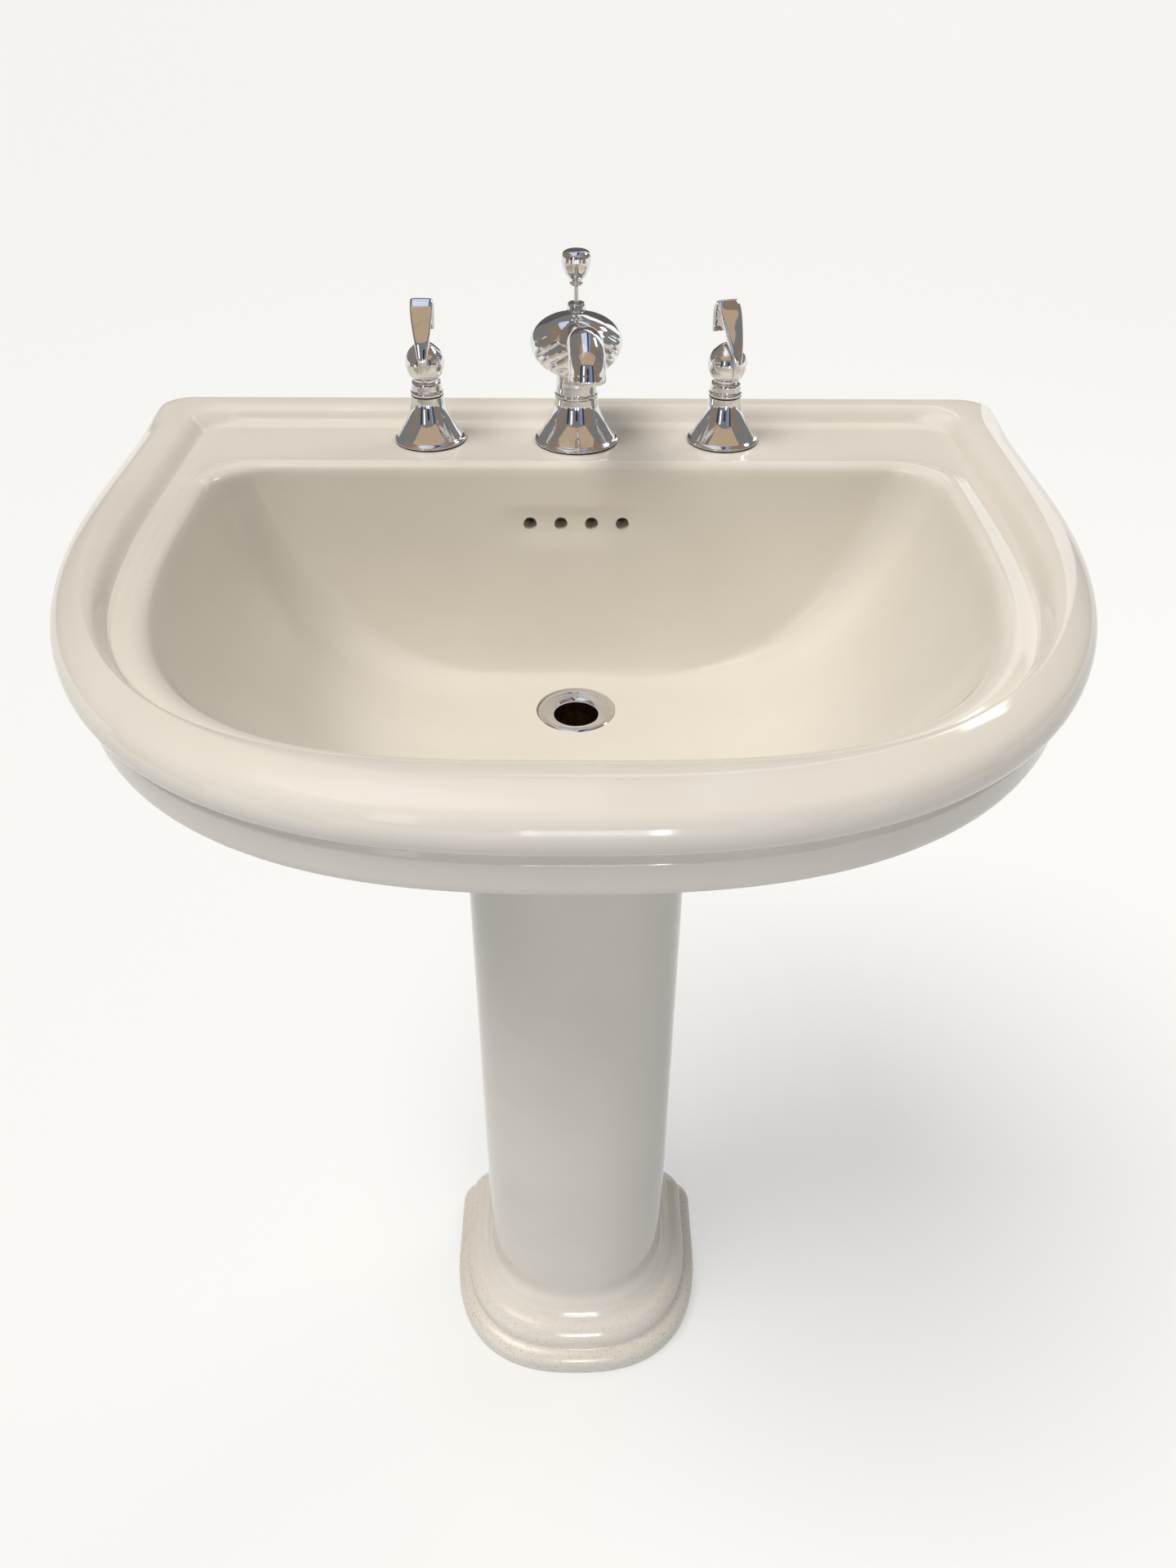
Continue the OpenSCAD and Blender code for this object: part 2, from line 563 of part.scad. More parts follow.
module clevis() color(steel) {
    difference() {
        union() {
            translate([-6, rod_y - 5, strap_top - 16]) cube([12, 9.1, 16]);
            translate([-6, strap_y, strap_top - strap_h]) cube([12, 1.6, strap_h]);
        }
        translate([0, rod_y, strap_top - 20]) cylinder(r = rod_r, h = 30);
        translate([0, rod_y - 20, strap_top - 8]) rotate([-90, 0, 0]) cylinder(r = 2.2, h = 20);
        for (z = [pivot_z - 14:14:strap_top - 24]) translate([0, strap_y - 1, z])
            rotate([-90, 0, 0]) cylinder(r = pivot_rod_d / 2 + rod_gap, h = 4);
    }
}
module clevis_screw() color(steel) translate([0, rod_y - rod_r, strap_top - 8])
    rotate([90, 0, 0]) union() {
        cylinder(r = 2.2, h = 8);
        translate([0, 0, 5]) cylinder(r = 6, h = 5);
    }
module spring_clip() color(steel) difference() {
    union() {
        translate([-5, strap_y - 4, pivot_z - 8]) cube([10, 0.8, 16]);
        translate([-5, strap_y + 4.8, pivot_z - 8]) cube([10, 0.8, 16]);
        translate([6.8, strap_y - 4, pivot_z - 8]) cube([0.8, 9.6, 16]);
        translate([4, strap_y - 4, pivot_z + 2]) cube([3.6, 0.8, 6]);
        translate([4, strap_y + 4.8, pivot_z + 2]) cube([3.6, 0.8, 6]);
    }
    translate([0, strap_y - 10, pivot_z]) rotate([-90, 0, 0])
        cylinder(r = pivot_rod_d / 2, h = 30);
}
module pivot_rod() color(chrome) union() {
    translate([0, ball_y - 27, pivot_z]) rotate([-90, 0, 0])
        cylinder(r = pivot_rod_d / 2, h = strap_y + 14 - ball_y + 27);
    translate([0, ball_y, pivot_z]) sphere(r = ball_r);
}
module pivot_seat() color(plastic) translate([0, ball_y, pivot_z]) rotate([-90, 0, 0])
    difference() {
        translate([0, 0, -8]) cylinder(r = 8.6, h = 13);
        sphere(r = ball_r + 0.3);
        translate([0, 0, -10]) cylinder(r = 5, h = 20);
    }
module pivot_nut() color(brass) translate([0, ball_y, pivot_z]) rotate([-90, 0, 0])
    difference() {
        translate([0, 0, -3]) cylinder(d = 27, h = 12, $fn = 8);
        translate([0, 0, -4]) cylinder(r = 10.5, h = 9);
        translate([0, 0, -4]) cylinder(r = 5, h = 20);
    }

// ---- drain ----
body_r = 20.5;
thread_r = 15.5;
body_top = outlet_z - 12;
body_low = pivot_z - 40;
module drain_flange() color(chrome) translate([0, drain_y, outlet_z]) difference() {
    union() {
        rotate_extrude() polygon([[throat_d / 2, -1.5], [flange_d / 2, -1.5], [flange_d / 2, -0.6],
            [flange_d / 2 - 1.5, 0.4], [flange_d / 2 - 4, 0.8], [throat_d / 2 + 4.5, -0.2],
            [throat_d / 2 + 2.4, -1], [throat_d / 2, -1.2]]);
        translate([0, 0, -31]) cylinder(r = 17.5, h = 30);
    }
    translate([0, 0, -40]) cylinder(r = throat_d / 2, h = 60);
    translate([0, 0, -3]) cylinder(r1 = throat_d / 2, r2 = throat_d / 2 + 3.2, h = 3);
    // relief holes for the overflow
    for (a = [0, 90, 180, 270]) rotate([-90, 0, a]) translate([0, 8.5, 0]) cylinder(r = 2, h = 20);
}
module drain_body() color(brass) translate([0, drain_y, 0]) difference() {
    union() {
        translate([0, 0, outlet_z - 42]) cylinder(r = body_r, h = 30);
        translate([0, 0, body_low]) cylinder(r = 18.5, h = outlet_z - 40 - body_low);
        translate([0, 12, pivot_z]) rotate([-90, 0, 0]) cylinder(r = 10.5, h = 18);
    }
    translate([0, 0, outlet_z - 31]) cylinder(r = 17.5, h = 30);
    translate([0, 0, body_low - 1]) cylinder(r = thread_r, h = 200);
    translate([0, 17, pivot_z]) rotate([-90, 0, 0]) cylinder(r = 8.6, h = 20);
    translate([0, 0, pivot_z]) rotate([-90, 0, 0]) cylinder(r = 5.4, h = 30);
}
module at_drain(z) translate([0, drain_y, z]) children();
module drain_gasket() color(rubber) at_drain(seat_z - 10) rotate_extrude()
    polygon([[body_r, 10], [29, 10], [31, 8], [31, 0], [body_r, 0]]);
module friction_washer() color(plastic) at_drain(seat_z - 11.5) ring_solid(body_r, 31, 1.5);
module drain_locknut() color(brass) at_drain(seat_z - 19.5) hex_nut(body_r, 54, 8);
module tailpiece() color(chrome) difference() {
    union() {
        at_drain(body_low - tailpiece_l) cylinder(d = tailpiece_d, h = tailpiece_l);
        at_drain(body_low - 1) cylinder(r = thread_r, h = 15);
    }
    at_drain(body_low - tailpiece_l - 1) cylinder(r = tailpiece_d / 2 - 0.9, h = tailpiece_l + 20);
}

basin_rim();
basin_apron();
basin_bowl();
pedestal();
bell_hot();
bell_cold();
bell_spout();
bell_gaskets();
handle_hot();
handle_cold();
set_screw_hot();
set_screw_cold();
stem_hot();
stem_cold();
cartridge_hot();
cartridge_cold();
bonnet_nuts();
valve_hot();
valve_cold();
spout_body();
aerator_housing();
aerator_screen();
spout_shank();
deck_washers();
thrust_washers();
mount_nuts();
spout_washer();
spout_nut();
tee();
tube_hot();
tube_cold();
tube_nuts();
lift_knob();
lift_rod();
clevis();
clevis_screw();
spring_clip();
pivot_rod();
pivot_nut();
pivot_seat();
drain_flange();
drain_body();
drain_gasket();
friction_washer();
drain_locknut();
tailpiece();
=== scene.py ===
import json
import math
import bpy
import bmesh
from mathutils import Matrix, Vector


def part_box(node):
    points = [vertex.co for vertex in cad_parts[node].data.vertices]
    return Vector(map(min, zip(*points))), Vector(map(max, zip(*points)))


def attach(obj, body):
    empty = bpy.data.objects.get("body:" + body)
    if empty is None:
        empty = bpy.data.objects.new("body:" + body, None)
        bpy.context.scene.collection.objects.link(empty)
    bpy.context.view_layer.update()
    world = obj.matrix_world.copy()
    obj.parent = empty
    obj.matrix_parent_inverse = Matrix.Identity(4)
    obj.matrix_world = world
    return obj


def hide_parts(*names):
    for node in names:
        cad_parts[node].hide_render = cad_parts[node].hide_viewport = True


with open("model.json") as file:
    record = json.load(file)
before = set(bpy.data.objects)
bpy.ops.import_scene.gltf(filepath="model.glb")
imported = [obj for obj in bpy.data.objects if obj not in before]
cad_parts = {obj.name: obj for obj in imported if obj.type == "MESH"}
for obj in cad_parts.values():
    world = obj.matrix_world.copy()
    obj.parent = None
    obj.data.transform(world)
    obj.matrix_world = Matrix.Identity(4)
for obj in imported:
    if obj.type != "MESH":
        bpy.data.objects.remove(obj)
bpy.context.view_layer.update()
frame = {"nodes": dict(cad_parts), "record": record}        # the imported nodes and the record
nodes = frame["nodes"]
scene = bpy.context.scene
print("frame loaded,", len(nodes), "nodes")

# everything below is worked out in millimetres and scaled once, when a mesh is made
mm = 0.001


def middle(node, axis):
    low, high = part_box(node)
    return (low[axis] + high[axis]) / 2 / mm


rimLow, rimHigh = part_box("basin_rim")
halfWidth = rimHigh.x / mm
wallY = rimHigh.y / mm
basinDepth = (rimHigh.y - rimLow.y) / mm
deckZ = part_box("bell_gaskets")[0].z / mm
rollRise = rimHigh.z / mm - deckZ
holeY = middle("bell_spout", 1)
valveX = middle("bell_cold", 0)
drainY = middle("drain_flange", 1)
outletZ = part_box("drain_flange")[1].z / mm - 0.8
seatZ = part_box("pedestal")[1].z / mm
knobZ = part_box("lift_knob")[0].z / mm
rodY = middle("lift_rod", 1)


# node trees written as expressions
class Wire:
    def __init__(self, tree, socket):
        self.tree = tree
        self.socket = socket

    def add(self, kind, settings=None, inputs=None, out=0):
        return addNode(self.tree, kind, settings, inputs, out)

    def calc(self, operation, *values):
        return self.add("ShaderNodeMath", {"operation": operation}, dict(enumerate(values)))

    def __add__(self, other):
        return self.calc("ADD", self, other)

    def __radd__(self, other):
        return self.calc("ADD", other, self)

    def __sub__(self, other):
        return self.calc("SUBTRACT", self, other)

    def __rsub__(self, other):
        return self.calc("SUBTRACT", other, self)

    def __mul__(self, other):
        return self.calc("MULTIPLY", self, other)

    def __rmul__(self, other):
        return self.calc("MULTIPLY", other, self)

    def __truediv__(self, other):
        return self.calc("DIVIDE", self, other)

    def __rtruediv__(self, other):
        return self.calc("DIVIDE", other, self)

    def __pow__(self, other):
        return self.calc("POWER", self, other)

    def step(self, low, high):
        return self.add("ShaderNodeMapRange", {"interpolation_type": "SMOOTHSTEP"},
                        {0: self, 1: low, 2: high, 3: 0.0, 4: 1.0})


def addNode(tree, kind, settings=None, inputs=None, out=0):
    node = tree.nodes.new(kind)
    for key, value in (settings or {}).items():
        setattr(node, key, value)
    for key, value in (inputs or {}).items():
        if isinstance(value, Wire):
            tree.links.new(value.socket, node.inputs[key])
        else:
            node.inputs[key].default_value = value
    return Wire(tree, node.outputs[out])


def mixColour(factor, a, b):
    tree = factor.tree
    a = a if isinstance(a, Wire) else tuple(a) + (1.0,)
    b = b if isinstance(b, Wire) else tuple(b) + (1.0,)
    return addNode(tree, "ShaderNodeMix", {"data_type": "RGBA"}, {0: factor, 6: a, 7: b}, 2)


def startFinish(name, settings):
    finish = bpy.data.materials.new(name)
    finish.use_nodes = True
    tree = finish.node_tree
    tree.nodes.clear()
    shader = tree.nodes.new("ShaderNodeBsdfPrincipled")
    output = tree.nodes.new("ShaderNodeOutputMaterial")
    tree.links.new(shader.outputs[0], output.inputs[0])
    for key, value in settings.items():
        shader.inputs[key].default_value = value
    place = addNode(tree, "ShaderNodeTexCoord", out=3)
    return finish, shader, place


def feed(shader, key, wire):
    wire.tree.links.new(wire.socket, shader.inputs[key])


def noise(place, scale, detail=3.0, rough=0.5, distortion=0.0):
    return place.add("ShaderNodeTexNoise", {},
                     {"Vector": place, "Scale": scale, "Detail": detail, "Roughness": rough,
                      "Distortion": distortion})


def stretched(place, x, y, z):
    return place.add("ShaderNodeMapping", {}, {"Vector": place, "Scale": (x, y, z)})


def bump(height, strength, distance):
    return height.add("ShaderNodeBump", {},
                      {"Height": height, "Strength": strength, "Distance": distance})


# finishes
chinaLook = {
    "glaze": (0.780, 0.742, 0.675),
    "shade": (0.715, 0.675, 0.605),
    "dust": (0.430, 0.380, 0.310),
    "roughness": 0.075,
    "dustTop": 0.085,          # metres above the floor where the dust ends
}


def makeChina():
    look = chinaLook
    finish, shader, place = startFinish("glazedChina", {"IOR": 1.52})
    spread = noise(place, 5.0, 4.0, 0.55)
    smear = noise(stretched(place, 9.0, 9.0, 3.0), 1.0, 5.0, 0.62, 0.6)
    speck = noise(place, 430.0, 3.0, 0.6)
    normal = place.add("ShaderNodeNewGeometry", out=1)
    up = normal.add("ShaderNodeSeparateXYZ", {}, {0: normal}, 2)
    height = place.add("ShaderNodeSeparateXYZ", {}, {0: place}, 2)
    low = 1.0 - height.step(0.0, look["dustTop"])
    dust = low * up.step(0.05, 0.85) * (0.35 + smear.step(0.35, 0.7) * 0.65)
    grit = low * speck.step(0.56, 0.66) * 0.75
    body = mixColour(spread.step(0.3, 0.75), look["glaze"], look["shade"])
    body = mixColour(dust * 0.28, body, look["dust"])
    body = mixColour(grit, body, look["dust"])
    feed(shader, "Base Color", body)
    feed(shader, "Roughness", look["roughness"] + smear.step(0.52, 0.75) * 0.07
         + noise(place, 40.0, 2.0) * 0.03 + dust * 0.35)
    skin = noise(place, 55.0, 2.0, 0.4) + speck * 0.04 + grit * 0.25
    feed(shader, "Normal", bump(skin, 0.10, 0.0006))
    return finish


chromeLook = {"metal": (0.80, 0.805, 0.82), "mark": (0.60, 0.57, 0.52), "roughness": 0.035}


def makeChrome():
    look = chromeLook
    finish, shader, place = startFinish("polishedChrome", {"Metallic": 1.0})
    smear = noise(place, 60.0, 5.0, 0.6, 0.8)
    spots = noise(place, 900.0, 2.0, 0.5)
    marks = smear.step(0.56, 0.72) * 0.5 + spots.step(0.66, 0.74) * 0.35
    feed(shader, "Base Color", mixColour(marks, look["metal"], look["mark"]))
    feed(shader, "Roughness", look["roughness"] + smear * 0.05 + marks * 0.16)
    feed(shader, "Normal", bump(noise(place, 140.0, 2.0, 0.4), 0.05, 0.0004))
    return finish


def makeMetal(name, colour, dull, roughness, grain):
    finish, shader, place = startFinish(name, {"Metallic": 1.0})
    patch = noise(place, 34.0, 6.0, 0.62, 0.5)
    fine = noise(stretched(place, grain[0], grain[1], grain[2]), 1.0, 3.0, 0.6)
    worn = patch.step(0.40, 0.68)
    feed(shader, "Base Color", mixColour(worn, colour, dull))
    feed(shader, "Roughness", roughness + worn * 0.22 + fine * 0.12)
    feed(shader, "Normal", bump(fine + patch * 0.4, 0.22, 0.0004))
    return finish


def makePlain(name, colour, other, roughness, scale):
    finish, shader, place = startFinish(name, {})
    patch = noise(place, 46.0, 5.0, 0.6)
    fine = noise(place, scale, 3.0, 0.55)
    feed(shader, "Base Color", mixColour(patch.step(0.35, 0.75), colour, other))
    feed(shader, "Roughness", roughness + fine * 0.18 + patch.step(0.5, 0.8) * 0.12)
    feed(shader, "Normal", bump(fine, 0.30, 0.0004))
    return finish


finishes = {
    "china": makeChina(),
    "chrome": makeChrome(),
    "brass": makeMetal("rawBrass", (0.66, 0.49, 0.22), (0.34, 0.24, 0.12), 0.20, (700, 700, 120)),
    "copper": makeMetal("copperTube", (0.72, 0.38, 0.24), (0.34, 0.17, 0.11), 0.18,
                        (120, 700, 700)),
    "steel": makeMetal("zincSteel", (0.56, 0.57, 0.58), (0.34, 0.34, 0.33), 0.24,
                       (900, 900, 160)),
    "rubber": makePlain("blackRubber", (0.020, 0.020, 0.021), (0.045, 0.044, 0.042), 0.52, 900.0),
    "plastic": makePlain("whiteNylon", (0.70, 0.69, 0.66), (0.58, 0.56, 0.51), 0.34, 700.0),
}
for row in frame["record"]["subparts"]:
    for holder in nodes[row["node"]].material_slots:
        holder.material = finishes[row["material_slot"]]
print("finishes made:", ", ".join(finishes))


# mesh helpers
def addPiece(name, points, faces, slot, crease=40.0):
    mesh = bpy.data.meshes.new(name)
    mesh.from_pydata([(p[0] * mm, p[1] * mm, p[2] * mm) for p in points], [], faces)
    return dressPiece(name, mesh, slot, crease)


def dressPiece(name, mesh, slot, crease=40.0):
    mesh.name = name
    tidyMesh(mesh)
    mesh.materials.clear()
    mesh.materials.append(finishes[slot])
    mesh.shade_smooth()
    mesh.set_sharp_from_angle(angle=math.radians(crease))
    piece = bpy.data.objects.new(name, mesh)
    scene.collection.objects.link(piece)
    return piece


def tidyMesh(mesh):
    form = bmesh.new()
    form.from_mesh(mesh)
    bmesh.ops.remove_doubles(form, verts=form.verts, dist=1e-6)
    bmesh.ops.dissolve_degenerate(form, edges=form.edges, dist=1e-7)
    bmesh.ops.recalc_face_normals(form, faces=form.faces)
    form.to_mesh(mesh)
    form.free()


def settle(piece, slot, body, *replaced):
    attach(piece, body)
    if replaced:
        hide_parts(*replaced)
    print("made", piece.name, len(piece.data.polygons))


def curvePoints(points, gap):
    # smooth curve through the points, sampled about every gap
    result = []
    last = len(points) - 1
    for i in range(last):
        p0, p1 = points[max(i - 1, 0)], points[i]
        p2, p3 = points[i + 1], points[min(i + 2, last)]
        size = len(p1)
        t1 = math.dist(p0, p1) ** 0.5 or math.dist(p1, p2) ** 0.5
        t2 = math.dist(p1, p2) ** 0.5
        t3 = math.dist(p2, p3) ** 0.5 or t2
        if i == 0:
            p0 = [2 * a - b for a, b in zip(p1, p2)]
            t1 = t2
        if i == last - 1:
            p3 = [2 * b - a for a, b in zip(p1, p2)]
            t3 = t2
        count = max(2, math.ceil(math.dist(p1, p2) / gap))
        for k in range(count):
            t = t2 * k / count
            row = []
            for j in range(size):
                a1 = p0[j] * (-t) / t1 + p1[j] * (t + t1) / t1
                a2 = p1[j] * (t2 - t) / t2 + p2[j] * t / t2
                a3 = p2[j] * (t2 + t3 - t) / t3 + p3[j] * (t - t2) / t3
                b1 = a1 * (t2 - t) / (t1 + t2) + a2 * (t + t1) / (t1 + t2)
                b2 = a2 * (t2 + t3 - t) / (t2 + t3) + a3 * t / (t2 + t3)
                row.append(b1 * (t2 - t) / t2 + b2 * t / t2)
            result.append(row)
    result.append(list(points[last]))
    return result


def joinRings(rings, closed=False):
    # skin over rings with the same number of points; open stacks get flat ends
    count = len(rings[0])
    points = [p for ring in rings for p in ring]
    faces = []
    total = len(rings)
    for i in range(total if closed else total - 1):
        a, b = i * count, (i + 1) % total * count
        for j in range(count):
            k = (j + 1) % count
            faces.append((a + j, a + k, b + k, b + j))
    if not closed:
        faces.append(tuple(range(count)))
        faces.append(tuple((total - 1) * count + j for j in range(count)))
    return points, faces


def lathe(profile, centre, around=96, gap=0.6, sharp=()):
    # profile rows are (radius, height); a row named in sharp keeps its corner
    parts, start = [], 0
    for stop in list(sharp) + [len(profile) - 1]:
        piece = curvePoints(profile[start:stop + 1], gap)
        parts += piece if not parts else piece[1:]
        start = stop
    rings = []
    for r, z in parts:
        r = max(r, 1e-4)
        rings.append([(centre[0] + r * math.cos(2 * math.pi * j / around),
                       centre[1] + r * math.sin(2 * math.pi * j / around),
                       centre[2] + z) for j in range(around)])
    return joinRings(rings)


def sweep(path, section):
    # section(i, point, side, normal) gives the ring at one point of a path in the YZ plane
    rings = []
    for i, p in enumerate(path):
        a, b = path[max(i - 1, 0)], path[min(i + 1, len(path) - 1)]
        along = Vector((0, b[0] - a[0], b[1] - a[1])).normalized()
        side = Vector((1, 0, 0))
        rings.append(section(i, Vector((0, p[0], p[1])), side, side.cross(along)))
    return joinRings(rings)


def merge(*shells):
    points, faces = [], []
    for more, polygons in shells:
        start = len(points)
        points += [tuple(p) for p in more]
        faces += [tuple(start + k for k in face) for face in polygons]
    return points, faces


def turned(points, centre, angle):
    c, s = math.cos(math.radians(angle)), math.sin(math.radians(angle))
    return [(centre[0] + p[0] * c - p[1] * s, centre[1] + p[0] * s + p[1] * c,
             centre[2] + p[2]) for p in points]


def carve(piece, cutter, operation="DIFFERENCE"):
    change = piece.modifiers.new("carve", "BOOLEAN")
    change.operation = operation
    change.solver = "MANIFOLD"
    change.object = cutter
    shown = piece.evaluated_get(bpy.context.evaluated_depsgraph_get())
    mesh = bpy.data.meshes.new_from_object(shown)
    piece.modifiers.clear()
    old = piece.data
    piece.data = mesh
    bpy.data.meshes.remove(old)
    bpy.data.objects.remove(cutter)


def closedTool(points, faces):
    mesh = bpy.data.meshes.new("tool")
    mesh.from_pydata([(p[0] * mm, p[1] * mm, p[2] * mm) for p in points], [], faces)
    tidyMesh(mesh)
    tool = bpy.data.objects.new("tool", mesh)
    scene.collection.objects.link(tool)
    return tool


def drum(centre, axis, radius, length, around=48, flare=0.0):
    # plug along an axis, with a widened mouth of the size flare at its start
    rows = [(radius + flare, 0.0)]
    if flare:
        rows += [(radius + flare * (1 - math.sin(k * math.pi / 12)),
                  flare * (1 - math.cos(k * math.pi / 12))) for k in range(1, 7)]
    rows.append((radius, length))
    axis = Vector(axis).normalized()
    side = axis.orthogonal().normalized()
    other = axis.cross(side)
    rings = []
    for r, t in rows:
        rings.append([Vector(centre) + axis * t + side * r * math.cos(2 * math.pi * j / around)
                      + other * r * math.sin(2 * math.pi * j / around) for j in range(around)])
    return joinRings(rings)


def block(low, high):
    x0, y0, z0 = low
    x1, y1, z1 = high
    ring = [(x0, y0), (x1, y0), (x1, y1), (x0, y1)]
    return joinRings([[(x, y, z0) for x, y in ring], [(x, y, z1) for x, y in ring]])


# plan outline of the china
def mix(a, b, t):
    return a + (b - a) * t


def smooth(t):
    t = min(max(t, 0.0), 1.0)
    return t * t * (3 - 2 * t)


planSteps = {"front": 132, "side": 12, "corner": 10, "back": 34}


def planRing(size):
    # half width, back and front set in from the wall, start of the curve, corner, squareness,
    # height at the front and at the wall
    w, b, f, s, r, n, zf, zb = size
    w = min(w, halfWidth)
    yb, yf, ys = min(wallY - b, wallY), max(wallY - f, wallY - basinDepth), wallY - s
    steps = planSteps
    line = []
    for i in range(steps["front"] + 1):
        a = math.pi * i / steps["front"]
        c, q = math.cos(a), math.sin(a)
        k = (abs(c) ** n + abs(q) ** n) ** (-1 / n)
        line.append((w * k * c, ys - (ys - yf) * k * q))
    for i in range(1, steps["side"]):
        line.append((-w, mix(ys, yb - r, i / steps["side"])))
    for i in range(steps["corner"] + 1):
        a = math.pi - math.pi / 2 * i / steps["corner"]
        line.append((-w + r + r * math.cos(a), yb - r + r * math.sin(a)))
    for i in range(1, steps["back"]):
        line.append((mix(-w + r, w - r, i / steps["back"]), yb))
    for i in range(steps["corner"] + 1):
        a = math.pi / 2 - math.pi / 2 * i / steps["corner"]
        line.append((w - r + r * math.cos(a), yb - r + r * math.sin(a)))
    for i in range(1, steps["side"]):
        line.append((w, mix(yb - r, ys, i / steps["side"])))
    return [(x, y, mix(zf, zb, smooth((y - (wallY - 70)) / 55))) for x, y in line]


def stations(groups, gap):
    # each group is one smooth run of sizes; groups meet in a corner
    rows = []
    for group in groups:
        run = curvePoints(group, gap)
        rows += run if not rows else run[1:]
    return [planRing(row) for row in rows]


# basin
basinLook = {
    "wall": 13.0,             # thickness of the china
    "bowlDepth": 149.0,
    "bowlBack": 109.0,        # wall to the back edge of the bowl
    "rollWidth": 44.0,
    "ledgeWidth": 29.0,
    "apron": 50.0,
    "wallFlange": 110.0,
    "flangeThick": 14.0,
    "overflowDrop": 40.0,
    "overflowPitch": 21.0,
    "overflowRadius": 4.5,
    "recess": 2.2,            # depth of the scoop round the overflow holes
    "bowlInset": 67.0,
    "bowlSquare": 3.3,
    "bowlSteep": 3.6,
}


def bowlSize(s, t):
    look = basinLook
    halfBowl, drain = halfWidth - look["bowlInset"], wallY - drainY
    z = deckZ - 2.5 - (look["bowlDepth"] - 3.5) * (1 - (1 - s) ** look["bowlSteep"]) - t
    corner = 34 - 8 * math.sin(math.pi * s ** 0.7) * (1 - s)
    return [mix(halfBowl, 34, s) + t, mix(look["bowlBack"], drain - 34, s ** 0.8) - t,
            mix(basinDepth - 49, drain + 34, s) + t, mix(150, drain, s), corner + t,
            mix(look["bowlSquare"], 2, s), z, z]


def rimSize(i, b, zf, zb):
    square = 2.5 + i / 700 + max(0, i - 20) * (basinLook["bowlSquare"] - 2.6) / 24
    return [halfWidth - i, b, basinDepth - i, mix(132, 150, i / 70), mix(12, 34, i / 70),
            square, deckZ + zf, deckZ + zb]


